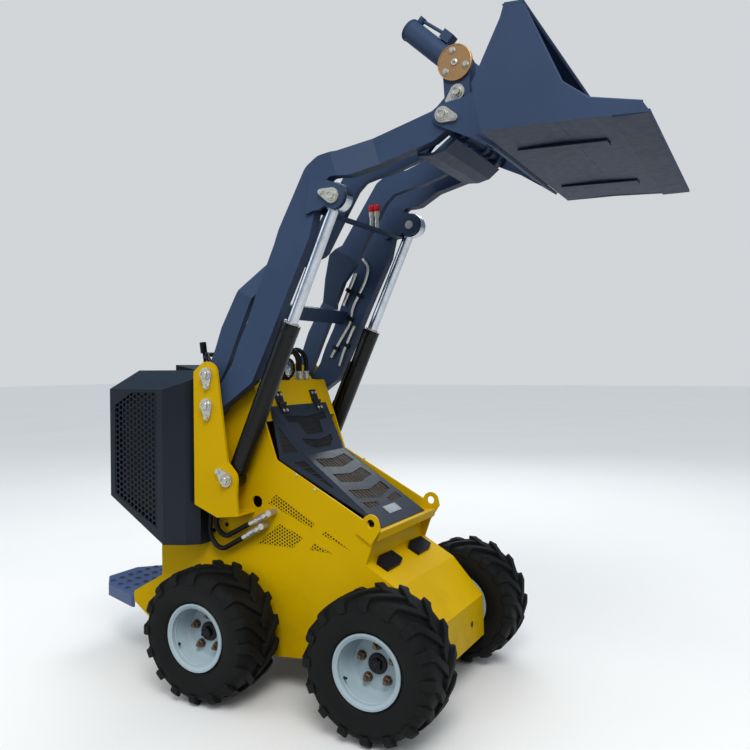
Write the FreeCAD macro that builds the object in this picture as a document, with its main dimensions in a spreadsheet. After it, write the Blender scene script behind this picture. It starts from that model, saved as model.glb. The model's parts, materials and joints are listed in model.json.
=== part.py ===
"""Stand-on compact skid steer loader, arms raised, as an assembly of named pieces.

Frame while drawing: X forward from the rear axle, Y to the left, Z up from the ground.
Every finished piece is then shifted along X so that the origin lies under the middle.
"""
import FreeCAD
import Part
import math
import os
from collections import namedtuple
from FreeCAD import Placement, Rotation, Vector

# Sizes in millimetres: alias, value, what it is
SIZES = (
    ("frame_shift", 336.0, "from the rear axle forward to the origin"),
    ("wheel_base", 652.0, "between the two axles"),
    ("tyre_radius", 228.5, "out to the tips of the lugs"),
    ("tyre_width", 210.0, "across the sidewalls"),
    ("lug_height", 14.0, "lugs above the tread"),
    ("lug_width", 36.0, "lugs along the tread"),
    ("tyre_inner", 268.0, "from the middle plane to the inner sidewall"),
    ("bead_radius", 103.0, "bore of the tyre"),
    ("flange_radius", 114.5, "outer radius of the rim flange"),
    ("rim_sheet", 4.0, "wall of the rim"),
    ("rim_seat_gap", 0.3, "between the rim and the tyre"),
    ("disc_out", 382.0, "from the middle plane to the rim disc"),
    ("disc_sheet", 8.0, "wall of the rim disc"),
    ("stud_circle", 57.0, "radius of the stud circle"),
    ("stud_radius", 7.0, "wheel stud"),
    ("hub_radius", 45.0, "hub barrel"),
    ("motor_radius", 46.0, "wheel motor barrel"),
    ("shaft_radius", 18.0, "shaft of the wheel motor"),
    ("run_gap", 0.3, "radial gap between a pin or shaft and its bore"),
    ("plate_inner", 236.0, "from the middle plane to the side plates"),
    ("plate_sheet", 8.0, "side plate"),
    ("wrap_sheet", 6.0, "bent sheets between the side plates"),
    ("upright_clear", 17.0, "between an arm and the outer upright plate"),
    ("upright_sheet", 10.0, "outer upright plate"),
    ("pin_radius", 16.0, "pivot pins"),
    ("keeper_sheet", 8.0, "retainer plates of the pins"),
    ("arm_inner", 270.0, "from the middle plane to the rear part of an arm"),
    ("arm_width", 44.0, "width of an arm"),
    ("arm_jog", 58.0, "the front part lies this much further in"),
    ("link_offset", 2.0, "a link lies this much further out than an arm"),
    ("link_width", 26.0, "width of a link"),
    ("link_lever_gap", 8.0, "between a link and the inner lever plate"),
    ("link_length_up", 108.0, "link pivots above the arm pivots"),
    ("arm_pivot_x", -37.0, "arm pivot on the upright"),
    ("arm_pivot_up", 1004.0, "arm pivot on the upright"),
    ("tip_x", 828.0, "pin at the arm tips"),
    ("tip_up", 1906.0, "pin at the arm tips"),
    ("trunnion_back", 7.0, "trunnion behind the tip pin"),
    ("trunnion_rise", 202.5, "trunnion above the tip pin"),
    ("lift_foot_x", 45.5, "foot of the lift cylinder"),
    ("lift_foot_up", 748.0, "foot of the lift cylinder"),
    ("lift_eye_x", 468.6, "rod eye of the lift cylinder"),
    ("lift_eye_up", 1686.3, "rod eye of the lift cylinder"),
    ("lift_barrel_radius", 33.0, "barrel of the lift cylinder"),
    ("lift_barrel_length", 585.0, "foot pin to the gland"),
    ("lift_rod_radius", 19.5, "rod of the lift cylinder"),
    ("lift_rod_length", 595.0, "rod eye to the inner end of the rod"),
    ("lift_eye_width", 40.0, "width of both cylinder eyes"),
    ("bracket_sheet", 12.0, "rod brackets under the arms"),
    ("coupler_inner", 80.0, "from the middle plane to the inner lever plates"),
    ("lever_sheet", 10.0, "lever plates"),
    ("lever_gap", 40.0, "between the two lever plates of a side"),
    ("coupler_tube_radius", 28.0, "tube between the arm tips"),
    ("tube_end_gap", 2.0, "between the tube and an arm tip"),
    ("cap_radius", 58.0, "trunnion cap"),
    ("cap_sheet", 10.0, "trunnion cap"),
    ("trunnion_radius", 20.0, "trunnion"),
    ("tilt_barrel_radius", 38.0, "barrel of the tilt cylinder"),
    ("tilt_barrel_back", 305.0, "trunnion to the butt"),
    ("tilt_barrel_front", 85.0, "trunnion to the gland"),
    ("tilt_rod_radius", 20.0, "rod of the tilt cylinder"),
    ("tilt_rod_length", 420.0, "rod eye to the inner end of the rod"),
    ("tilt_eye_x", 1014.0, "rod pin on the hitch"),
    ("tilt_eye_up", 1932.0, "rod pin on the hitch"),
    ("tilt_eye_width", 44.0, "eye of the tilt rod"),
    ("lug_gap", 3.0, "between the eye of the tilt rod and each lug"),
    ("hitch_gap", 2.0, "between an arm tip and a hitch plate"),
    ("hitch_sheet", 8.0, "hitch plates"),
    ("bucket_half", 495.0, "half the width of the bucket"),
    ("bucket_sheet", 8.0, "bucket walls"),
    ("foot_ring_radius", 34.0, "foot eye of the lift cylinder"),
    ("rod_ring_radius", 46.0, "rod eye of the lift cylinder"),
    ("tilt_ring_radius", 30.0, "rod eye of the tilt cylinder"),
    ("eye_bar_radius", 30.0, "outside of a lifting eye"),
    ("eye_hole_radius", 14.5, "hole of a lifting eye"),
    ("eye_x", 560.0, "lifting eye"),
    ("eye_up", 623.5, "lifting eye"),
    ("hood_sheet", 3.0, "hood"),
    ("screen_sheet", 2.0, "screens behind openings"),
    ("hose_radius", 9.0, "hoses of the chassis"),
    ("pipe_radius", 6.0, "pipes on the arm"),
    ("pad_height", 12.0, "rubber pads on the slope"),
    ("lamp_radius", 38.0, "work lamp"),
    ("console_rise", 81.0, "console above the arm pivot"),
    ("box_rise", 42.0, "side boxes above the console"),
    ("box_outer", 400.0, "from the middle plane to the face of a side box"),
    ("box_gap", 0.3, "between a side box and its side plate"),
    ("step_up", 250.0, "top of the step"),
    ("step_sheet", 5.0, "step plate"),
    ("step_skirt", 45.0, "skirt of the step"),
    ("seat_gap", 0.3, "between a piece and what carries it"),
    ("engine_length", 360.0, "engine block"),
    ("engine_width", 300.0, "engine block"),
    ("engine_height", 480.0, "engine block"),
)

Corner = namedtuple("Corner", "x z fillet")
Lobe = namedtuple("Lobe", "x z radius")

doc = FreeCAD.newDocument("Loader")
sheet = doc.addObject("Spreadsheet::Sheet", "Sizes")
for row, (alias, value, note) in enumerate(SIZES, 1):
    sheet.set(f"A{row}", note)
    sheet.set(f"B{row}", str(value))
    sheet.setAlias(f"B{row}", alias)
doc.recompute()

NODES = []


def size(alias):
    """Value of one aliased cell."""
    return float(sheet.get(alias))


# Pins in the X Z plane, from the sheet
ARM_PIVOT = (size("arm_pivot_x"), size("arm_pivot_up"))
LINK_PIVOT = (ARM_PIVOT[0], ARM_PIVOT[1] + size("link_length_up"))
TIP = (size("tip_x"), size("tip_up"))
LINK_TIP = (TIP[0], TIP[1] + size("link_length_up"))
TRUNNION = (TIP[0] - size("trunnion_back"), TIP[1] + size("trunnion_rise"))
LIFT_FOOT = (size("lift_foot_x"), size("lift_foot_up"))
LIFT_EYE = (size("lift_eye_x"), size("lift_eye_up"))
TILT_EYE = (size("tilt_eye_x"), size("tilt_eye_up"))
EYE = (size("eye_x"), size("eye_up"))
PIN_HOLE = size("pin_radius") + size("run_gap")
PLATE_OUTER = size("plate_inner") + size("plate_sheet")

# Planes that follow from the arms, as expressions of the sheet and as numbers
ARM_OUTER = "(Sizes.arm_inner + Sizes.arm_width)"
LIFT_CENTRE = "(Sizes.arm_inner + Sizes.arm_width / 2)"
UPRIGHT_INNER = f"({ARM_OUTER} + Sizes.upright_clear)"
UPRIGHT_SEAT = f"({UPRIGHT_INNER} + Sizes.upright_sheet)"
PLATE_SEAT = "(Sizes.plate_inner + Sizes.plate_sheet)"
TIP_INNER = "(Sizes.arm_inner - Sizes.arm_jog)"
HITCH_INNER = f"({TIP_INNER} + Sizes.arm_width + Sizes.hitch_gap)"
HITCH_SEAT = f"({HITCH_INNER} + Sizes.hitch_sheet)"
arm_in = size("arm_inner")
arm_out = arm_in + size("arm_width")
jog = size("arm_jog")
link_in = arm_in + size("link_offset")
link_out = link_in + size("link_width")
link_jog = link_in - size("coupler_inner") - size("lever_sheet") - size("link_lever_gap")
lift_y = -(arm_in + size("arm_width") / 2)
CONSOLE_UP = ARM_PIVOT[1] + size("console_rise")
BOX_TOP = CONSOLE_UP + size("box_rise")


def corners(points):
    """Corners from (x, z) or (x, z, fillet) rows; a Lobe passes through."""
    made = []
    for point in points:
        if isinstance(point, Lobe):
            made.append(point)
        else:
            made.append(Corner(point[0], point[1], point[2] if len(point) > 2 else 0.0))
    return made


def lobe(centre, radius):
    """Round end of a plate about a pin."""
    return Lobe(centre[0], centre[1], radius)


def contour(points):
    """Sketch geometry of one closed loop of corners and lobes, drawn anticlockwise."""
    items = corners(points)
    area = sum(a.x * b.z - b.x * a.z for a, b in zip(items, items[1:] + items[:1]))
    if area < 0:
        items = items[::-1]
    count = len(items)
    radii = [item.radius if isinstance(item, Lobe) else 0.0 for item in items]
    leave = [None] * count
    enter = [None] * count
    for i in range(count):
        j = (i + 1) % count
        a, b = items[i], items[j]
        reach = math.hypot(b.x - a.x, b.z - a.z)
        heading = math.atan2(b.z - a.z, b.x - a.x)
        normal = heading + math.acos(max(-1.0, min(1.0, (radii[j] - radii[i]) / reach)))
        nx, nz = math.cos(normal), math.sin(normal)
        leave[i] = (a.x - radii[i] * nx, a.z - radii[i] * nz)
        enter[j] = (b.x - radii[j] * nx, b.z - radii[j] * nz)
    starts, ends, arcs = [None] * count, [None] * count, []
    for i in range(count):
        item = items[i]
        if isinstance(item, Lobe):
            starts[i], ends[i] = enter[i], leave[i]
            arcs.append((i, (item.x, item.z), abs(item.radius), item.radius > 0))
            continue
        before, after = leave[i - 1], enter[(i + 1) % count]
        ux, uz = before[0] - item.x, before[1] - item.z
        wx, wz = after[0] - item.x, after[1] - item.z
        lu, lw = math.hypot(ux, uz), math.hypot(wx, wz)
        ux, uz, wx, wz = ux / lu, uz / lu, wx / lw, wz / lw
        turn = math.acos(max(-1.0, min(1.0, ux * wx + uz * wz)))
        if item.fillet <= 0 or turn > math.pi - 0.02:
            starts[i] = ends[i] = (item.x, item.z)
            continue
        cut = min(item.fillet / math.tan(turn / 2), 0.45 * lu, 0.45 * lw)
        radius = cut * math.tan(turn / 2)
        starts[i] = (item.x + ux * cut, item.z + uz * cut)
        ends[i] = (item.x + wx * cut, item.z + wz * cut)
        mid = math.hypot(ux + wx, uz + wz)
        far = radius / math.sin(turn / 2)
        centre = (item.x + (ux + wx) / mid * far, item.z + (uz + wz) / mid * far)
        left = (-ux) * wz - (-uz) * wx > 0
        arcs.append((i, centre, radius, left))
    shapes = []
    for i, centre, radius, left in arcs:
        a0 = math.atan2(starts[i][1] - centre[1], starts[i][0] - centre[0])
        a1 = math.atan2(ends[i][1] - centre[1], ends[i][0] - centre[0])
        if not left:
            a0, a1 = a1, a0
        if a1 <= a0:
            a1 += 2 * math.pi
        circle = Part.Circle(Vector(centre[0], centre[1], 0), Vector(0, 0, 1), radius)
        shapes.append(Part.ArcOfCircle(circle, a0, a1))
    for i in range(count):
        a, b = ends[i], starts[(i + 1) % count]
        if math.hypot(b[0] - a[0], b[1] - a[1]) > 1e-6:
            shapes.append(Part.LineSegment(Vector(a[0], a[1], 0), Vector(b[0], b[1], 0)))
    return shapes


def hole(centre, radius):
    """Sketch geometry of a round hole."""
    return [Part.Circle(Vector(centre[0], centre[1], 0), Vector(0, 0, 1), radius)]


def strip(points, thickness, inward=1.0):
    """Closed outline of a bent sheet: the given line and its copy set off by the thickness."""
    normals = []
    for a, b in zip(points, points[1:]):
        length = math.hypot(b[0] - a[0], b[1] - a[1])
        normals.append((-(b[1] - a[1]) / length * inward, (b[0] - a[0]) / length * inward))
    offset = []
    for i, point in enumerate(points):
        first = normals[max(i - 1, 0)]
        second = normals[min(i, len(normals) - 1)]
        scale = thickness / (1.0 + first[0] * second[0] + first[1] * second[1])
        offset.append((point[0] + (first[0] + second[0]) * scale,
                       point[1] + (first[1] + second[1]) * scale))
    return list(points) + offset[::-1]


def plane_of(body, role):
    """Origin plane of a body by its role."""
    return next(f for f in body.Origin.OriginFeatures if f.Role == role)


def new_body(name):
    """Empty PartDesign body."""
    body = doc.addObject("PartDesign::Body", name)
    body.Label = name
    return body


def draw(body, name, role, loops, offset=None):
    """Sketch on an origin plane of the body; the offset is an expression."""
    sketch = body.newObject("Sketcher::SketchObject", name)
    sketch.AttachmentSupport = [(plane_of(body, role), "")]
    sketch.MapMode = "FlatFace"
    if offset is not None:
        sketch.setExpression("AttachmentOffset.Base.z", offset)
    for shapes in loops:
        sketch.addGeometry(shapes, False)
    return sketch


def plate(name, outline, inner, thickness, holes=()):
    """Plate of the right side: outline in X Z, from the inner plane outward."""
    body = new_body(name)
    loops = [contour(outline)]
    for item in holes:
        loops.append(hole(item[0], item[1]) if not isinstance(item[0][0], tuple) else contour(item[0]))
    sketch = draw(body, name + "_outline", "XZ_Plane", loops, inner)
    feature = body.newObject("PartDesign::Pad", name + "_pad")
    feature.Profile = sketch
    feature.setExpression("Length", thickness)
    return body


def across(name, outline, half_width, holes=()):
    """Piece that spans the middle plane: outline in X Z, padded both ways."""
    body = new_body(name)
    loops = [contour(outline)] + [hole(c, r) for c, r in holes]
    sketch = draw(body, name + "_outline", "XZ_Plane", loops)
    feature = body.newObject("PartDesign::Pad", name + "_pad")
    feature.Profile = sketch
    feature.Midplane = True
    feature.setExpression("Length", f"2 * ({half_width})")
    return body


def turned(name, profile, placement):
    """Revolved piece: profile rows (radius, along) about the local Z axis."""
    body = new_body(name)
    sketch = draw(body, name + "_profile", "XZ_Plane", [contour(profile)])
    feature = body.newObject("PartDesign::Revolution", name + "_revolution")
    feature.Profile = sketch
    feature.ReferenceAxis = (sketch, ["V_Axis"])
    feature.Angle = 360.0
    body.Placement = placement
    return body


def toward(start, end):
    """Placement whose Z axis runs from start to end."""
    a, b = Vector(*start), Vector(*end)
    return Placement(a, Rotation(Vector(0, 0, 1), b - a))


def along_y(x, z, y, outward=-1.0):
    """Placement whose Z axis points along Y away from the middle plane."""
    return toward((x, y, z), (x, y + outward, z))


def cylinder(name, radius, height, placement):
    """Round bar; radius and height are expressions."""
    bar = doc.addObject("Part::Cylinder", name)
    bar.setExpression("Radius", radius)
    bar.setExpression("Height", height)
    bar.Placement = placement
    return bar


def fuse(name, pieces):
    """Union of the pieces."""
    joined = doc.addObject("Part::MultiFuse", name)
    joined.Shapes = list(pieces)
    joined.Refine = True
    return joined


def cut(name, base, tool):
    """Base without the tool."""
    made = doc.addObject("Part::Cut", name)
    made.Base = base
    made.Tool = tool
    made.Refine = True
    return made


def common(name, first, second):
    """What two solids share."""
    made = doc.addObject("Part::Common", name)
    made.Base = first
    made.Tool = second
    made.Refine = True
    return made


def mirrored(name, source):
    """Left twin of a piece of the right side."""
    twin = doc.addObject("Part::Mirroring", name)
    twin.Source = source
    twin.Normal = Vector(0, 1, 0)
    twin.Base = Vector(0, 0, 0)
    return twin


def prism(name, points, direction, length):
    """Solid from a closed polygon in space, extruded along a direction."""
    made = doc.addObject("Part::Feature", name)
    wire = Part.makePolygon([Vector(*p) for p in points] + [Vector(*points[0])])
    move = Vector(*direction)
    move.normalize()
    made.Shape = Part.Face(wire).extrude(move * length)
    return made


def box(name, low, high):
    """Block between two corners."""
    made = doc.addObject("Part::Box", name)
    made.Length, made.Width, made.Height = (b - a for a, b in zip(low, high))
    made.Placement = Placement(Vector(*low), Rotation())
    return made


def flat_solid(name, rings, level=()):
    """Solid from rings of points, joined by flat triangles or, on the level sides, by whole faces."""
    faces = []
    count = len(rings[0])
    for first, second in zip(rings, rings[1:]):
        for i in range(count):
            j = (i + 1) % count
            four = (first[i], first[j], second[j], second[i])
            for corners in ((four,) if i in level else (four[:3], four[2:] + four[:1])):
                faces.append(Part.Face(Part.makePolygon(list(corners) + [corners[0]])))
    for ring in (rings[0], rings[-1]):
        faces.append(Part.Face(Part.makePolygon(list(ring) + [ring[0]])))
    solid = Part.Solid(Part.Shell(faces))
    if solid.Volume < 0:
        solid.reverse()
    made = doc.addObject("Part::Feature", name)
    made.Shape = solid
    return made


def tube(name, points, radius):
    """Round hose or pipe of straight runs and tangent arcs; prints its bends and its volume."""
    line = [Vector(*p) for p in points]
    edges, start, bends, length = [], line[0], [], 0.0
    for i in range(1, len(line) - 1):
        before, after = line[i - 1] - line[i], line[i + 1] - line[i]
        shorter = min(before.Length, after.Length)
        before.normalize()
        after.normalize()
        half_turn = (math.pi - before.getAngle(after)) / 2
        bend = 0.45 * shorter / math.tan(half_turn)
        middle = before + after
        middle.normalize()
        centre = line[i] + middle * (bend / math.cos(half_turn))
        entry, leaving = line[i] + before * 0.45 * shorter, line[i] + after * 0.45 * shorter
        edges.append(Part.makeLine(start, entry))
        edges.append(Part.Arc(entry, centre - middle * bend, leaving).toShape())
        start = leaving
        bends.append(bend)
    edges.append(Part.makeLine(start, line[-1]))
    length = sum(edge.Length for edge in edges)
    section = Part.Face(Part.Wire(Part.makeCircle(radius, line[0], line[1] - line[0])))
    made = doc.addObject("Part::Feature", name)
    made.Shape = Part.Wire(edges).makePipe(section)
    volume = math.pi * radius ** 2 * length
    if abs(made.Shape.Volume - volume) > 0.01 * volume:
        raise RuntimeError(f"{name}: volume is off")
    print(f"{name}: length {length:.0f}, bends " + " ".join(f"{bend:.0f}" for bend in bends))
    return made


def bar(name, start, end, radius):
    """Round bar between two points."""
    made = doc.addObject("Part::Cylinder", name)
    made.Radius = radius
    made.Height = (Vector(*end) - Vector(*start)).Length
    made.Placement = toward(start, end)
    return made


def node(label, *pieces):
    """Finished piece of the assembly, shifted to the common origin."""
    made = doc.addObject("Part::Compound", label)
    made.Links = list(pieces)
    made.Label = label
    made.setExpression("Placement.Base.x", "-Sizes.frame_shift")
    NODES.append(made)
    return made


def pair(label, *pieces):
    """Finished piece with its twin on the left side."""
    twins = [mirrored(f"{label}_twin{i}", piece) for i, piece in enumerate(pieces)]
    return node(label, *pieces, *twins)


# Chassis: one outline for the side plates and the sheets between them
REAR_AXLE = (0.0, size("tyre_radius"))
FRONT_AXLE = (size("wheel_base"), size("tyre_radius"))
SLOPE_TOP, NOSE_FOLD = (537, 484), (652, 419)
RECESS = 15.0
slope = Vector(NOSE_FOLD[0] - SLOPE_TOP[0], 0, NOSE_FOLD[1] - SLOPE_TOP[1])
slope.normalize()
WALL_FOOT = (SLOPE_TOP[0] - RECESS * slope.x, SLOPE_TOP[1] - RECESS * slope.z)
SHELL = ((-341, CONSOLE_UP), (-341, 350), (-487, 268), (-485, 230), (-416, 183), (-200, 130),
         (175, 124), (299, 135), (772, 141), (768, 289), NOSE_FOLD, WALL_FOOT, (518, 588))
CONSOLE = ((186, 812), (90, CONSOLE_UP - 1))
side_outline = list(SHELL[:-2]) + [SLOPE_TOP, (560, 548), (573, 585), (556, 592), (545, 622), (521, 635),
                                   CONSOLE[0], CONSOLE[1], (32, CONSOLE_UP), lobe(LINK_PIVOT, 40),
                                   (-118, CONSOLE_UP)]
SIDE_VENTS = (
    ((182, 693), (150, 658), (327, 587), (344, 605)),
    ((121, 621), (96, 589), (106, 584), (153, 615)),
    ((198, 590), (102, 513), (253, 511), (297, 553)),
    ((383, 581), (370, 568), (485, 524)),
    ((340, 537), (317, 512), (412, 508)),
)
SLOT = ((83, 640, 20), (125, 640, 20), (125, 682, 20), (83, 682, 20))
side_holes = [(ARM_PIVOT, PIN_HOLE), (LINK_PIVOT, PIN_HOLE), (LIFT_FOOT, PIN_HOLE), (SLOT, 0)]
side_holes += [(vent, 0) for vent in SIDE_VENTS]
pair("side_plates", plate("side_plate", side_outline, "Sizes.plate_inner", "Sizes.plate_sheet",
                          side_holes))

# Nose, belly and rear in one bent sheet between the side plates
wrap_line = list(SHELL)
wrap_line[0] = (SHELL[0][0], SHELL[0][1] - size("wrap_sheet"))
wrap = across("wrap", strip(wrap_line, size("wrap_sheet")), "Sizes.plate_inner")
node("nose_belly_sheet", wrap)

# Rubber pads on the slope, one shape twice: rows (down the slope, across)
PAD = ((14, -192), (-4, -152), (-2, -58), (46, -55), (58, -92), (60, -188))
PAD_STEP = 248.0
outward = Vector(-slope.z, 0, slope.x)
pads = []
for i in range(2):
    points = []
    for along, across_by in PAD:
        spot = (Vector(SLOPE_TOP[0], across_by + i * PAD_STEP, SLOPE_TOP[1]) + slope * along
                + outward * size("seat_gap"))
        points.append((spot.x, spot.y, spot.z))
    pads.append(prism(f"slope_pad{i}", points, (outward.x, 0, outward.z), size("pad_height")))
node("slope_pads", *pads)

# Console cover on top, ending behind the hood
console_end = (140, 945)
node("console_cover", across("console", strip([SHELL[0], (90, CONSOLE_UP), console_end],
                                              size("wrap_sheet"), -1.0), "Sizes.plate_inner"))

# Front crossbar under the hood tip, and the lifting eyes
HOOD_FRONT, HOOD_FRONT_UP = 565.0, 597.0
crossbar_up = HOOD_FRONT_UP - size("hood_sheet") * 0.84 - size("seat_gap")
CROSSBAR = ((515, crossbar_up), (586, crossbar_up), (579, crossbar_up - 28))
node("front_crossbar", across("crossbar", strip(CROSSBAR, size("wrap_sheet"), -1.0),
                              "Sizes.plate_inner"))
pair("lifting_eyes", plate("lifting_eye", [lobe(EYE, size("eye_bar_radius")), (506, 588),
                                           (561, 553), (595, 605)],
                           "Sizes.plate_inner + Sizes.plate_sheet", "Sizes.plate_sheet",
                           [(EYE, size("eye_hole_radius"))]))

# Uprights: outer plate, rear web and foot flange
upright_outline = [(-97, 1122), (-97, 652), (3, 613), (93, 624), (87, 690), lobe(LIFT_FOOT, 45),
                   (50, 808, 15), (19, 1026), lobe(LINK_PIVOT, 45)]
upright_plate = plate("upright_plate", upright_outline, UPRIGHT_INNER, "Sizes.upright_sheet",
                      [(p, PIN_HOLE) for p in (ARM_PIVOT, LINK_PIVOT, LIFT_FOOT)])
upright_web = plate("upright_web", [(-97, 1100), (-97, 652), (-90, 649), (-90, 1100)],
                    PLATE_SEAT, f"{UPRIGHT_INNER} - {PLATE_SEAT}")
upright_foot = plate("upright_foot", strip([(-97, 652), (3, 613), (93, 624)], 7),
                     PLATE_SEAT, f"{UPRIGHT_INNER} - {PLATE_SEAT}")
pair("uprights", fuse("upright", [upright_plate, upright_web, upright_foot]))


def plain_pin(name, centre, inner, seat):
    """Pin of the right side between two planes."""
    inside, outside = f"({inner})", f"({seat})"
    shank = cylinder(name + "_shank", "Sizes.pin_radius", f"{outside} - {inside}",
                     along_y(centre[0], centre[1], 0))
    shank.setExpression("Placement.Base.y", f"-{inside}")
    return shank


def keeper_pin(name, centre, tail, inner, seat, collar=13.0):
    """Pin from the inner plane to its seat with a drop-shaped retainer plate outside it."""
    end = (centre[0] + tail[0], centre[1] + tail[1])
    outside = f"({seat})"
    shank = plain_pin(name, centre, inner, seat)
    drop = plate(name + "_drop", [lobe(centre, 1.55 * size("pin_radius")), lobe(end, 11)],
                 seat, "Sizes.keeper_sheet")
    bolt = cylinder(name + "_bolt", "Sizes.pin_radius / 2", "Sizes.keeper_sheet * 2",
                    along_y(end[0], end[1], 0))
    bolt.setExpression("Placement.Base.y", f"-{outside}")
    head = cylinder(name + "_head", f"{collar}", "Sizes.keeper_sheet * 1.6",
                    along_y(centre[0], centre[1], 0))
    head.setExpression("Placement.Base.y", f"-{outside}")
    return fuse(name, [shank, drop, bolt, head])


pair("upright_pins",
     keeper_pin("arm_pin", ARM_PIVOT, (3, -42), "Sizes.plate_inner", UPRIGHT_SEAT),
     keeper_pin("link_pin", LINK_PIVOT, (3, -42), "Sizes.plate_inner", UPRIGHT_SEAT),
     keeper_pin("foot_pin", LIFT_FOOT, (-31, 28), "Sizes.plate_inner", UPRIGHT_SEAT))

# Side boxes: shell of each box, open inside, with a chamfered front corner
BOX_LOW = ((-441, 669), (-190, 510), (-105, 500))
BOX_EDGE = BOX_TOP - 67.0
box_in = PLATE_OUTER + size("box_gap")
box_out = size("box_outer")


def side_box(name, inset):
    """Closed block of the box outline, drawn in by the inset on every outer side."""
    low = strip([BOX_LOW[0], BOX_LOW[1], BOX_LOW[2]], inset)[3:][::-1] if inset else BOX_LOW
    profile = [(BOX_LOW[0][0] + inset, BOX_TOP - inset), (BOX_LOW[0][0] + inset, low[0][1]),
               low[1], (BOX_LOW[2][0] - inset, low[2][1]), (BOX_LOW[2][0] - inset, BOX_TOP - inset)]
    side = prism(name + "_side", [(x, -(box_in - 1), z) for x, z in profile], (0, -1, 0),
                 box_out - box_in + 2)
    plan = [(-700, -(box_in + inset * 0.5)), (-700, -(box_out - inset)),
            (-190 - inset * 0.4, -(box_out - inset)), (-135 - inset * 0.7, -(345 - inset * 0.4)),
            (-105 - inset, -(300 - inset * 0.3)), (-105 - inset, -(box_in + inset * 0.5))]
    plan_prism = prism(name + "_plan", [(x, y, 300) for x, y in plan], (0, 0, 1), 1000)
    cross = [(box_in - 2, 300), (box_out - inset, 300), (box_out - inset, BOX_EDGE - inset * 0.5),
             (box_in + 6, BOX_TOP - inset), (box_in - 2, BOX_TOP - inset)]
    roof = prism(name + "_roof", [(-800, -y, z) for y, z in cross], (1, 0, 0), 900)
    return common(name, common(name + "_half", side, plan_prism), roof)


BOX_SHEET = 5.0
BOX_WINDOW = ((-416, 1001), (-332, 1048), (-217, 1048), (-220, 569), (-418, 676))
window = prism("box_window", [(x, -(box_out - 2 * BOX_SHEET), z) for x, z in BOX_WINDOW], (0, -1, 0),
               3 * BOX_SHEET)
pair("side_boxes", cut("side_box_open", cut("side_box_shell", side_box("side_box", 0.0),
                                            side_box("side_box_hollow", BOX_SHEET)), window))
SCREEN_LINE = ((-428, 1008), (-336, 1052), (-207, 1052), (-210, 555), (-430, 671))
screen_y = box_out - BOX_SHEET - size("seat_gap")
pair("box_screens", prism("box_screen", [(x, -screen_y, z) for x, z in SCREEN_LINE], (0, 1, 0),
                          size("screen_sheet")))

# Step behind, engine inside
step_up = size("step_up")
step_seat = SHELL[2][0] - size("seat_gap") + (SHELL[3][0] - SHELL[2][0]) * (
    SHELL[2][1] - step_up) / (SHELL[2][1] - SHELL[3][1])
step_plan = [(step_seat, -245), (-500, -245), (-700, -170), (-790, -80), (-790, 80), (-700, 170),
             (-500, 245), (step_seat, 245)]


def step_block(name, inset, low, high):
    """Block under the plan of the step."""
    points = [(max(x + inset, -790 + inset), y * (1 - inset / 245), low) for x, y in step_plan]
    return prism(name, points, (0, 0, 1), high - low)


step_top = step_up
step_low = step_top - size("step_skirt")
node("step_platform", cut("step", step_block("step_outer", 0, step_low, step_top),
                          step_block("step_hollow", size("step_sheet"), step_low - 1,
                                     step_top - size("step_sheet"))))
engine_low = SHELL[5][1] + size("wrap_sheet") + size("seat_gap") + 0.2
node("engine_block", box("engine", (SHELL[5][0], -size("engine_width") / 2, engine_low),
                         (SHELL[5][0] + size("engine_length"), size("engine_width") / 2,
                          engine_low + size("engine_height"))))

# Hoses that loop out under the right upright to fittings on the side plate
SIDE_HOSES = (
    (((-80, 631), (-90, 528), (-40, 478), (60, 534)), (147, 583)),
    (((-54, 619), (-60, 566), (-22, 528), (90, 586)), (179, 632)),
)
hose_y, hose_r = -(PLATE_OUTER + 26), size("hose_radius")
hoses, fittings = [], []
for i, (rows, far) in enumerate(SIDE_HOSES):
    hoses.append(tube(f"side_hose{i}", [(x, hose_y, z) for x, z in rows], hose_r))
    start = Vector(rows[-1][0], hose_y, rows[-1][1])
    way = Vector(far[0], hose_y, far[1]) - start
    reach = way.Length
    way.normalize()
    fitting = [bar(f"ferrule{i}", tuple(start + way * size("seat_gap")), tuple(start + way * reach), 9),
               bar(f"union{i}", tuple(start + way * 40), tuple(start + way * 62), 12.5),
               bar(f"elbow{i}", (far[0], hose_y - 14, far[1]),
                   (far[0], -(PLATE_OUTER + size("seat_gap")), far[1]), 11.5)]
    fittings.append(fuse(f"side_fitting{i}", fitting))

# Hoses that arch over the front edge of the console
for i, (x, y) in enumerate(((62, 150), (44, 118), (66, 96))):
    top = CONSOLE_UP + size("seat_gap")
    fittings.append(fuse(f"top_fitting{i}", [bar(f"top_stem{i}", (x, y, top), (x, y, top + 30), 9),
                                             bar(f"top_union{i}", (x, y, top + 8), (x, y, top + 22), 13)]))
    low = top + 30 + size("seat_gap")
    hoses.append(tube(f"top_hose{i}", [(x, y, low), (x, y, low + 62), (x - 42, y, low + 98),
                                       (x - 104, y, low + 62), (x - 104, y, top)], hose_r))
node("chassis_hoses", *hoses)
node("hose_fittings", *fittings)

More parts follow.
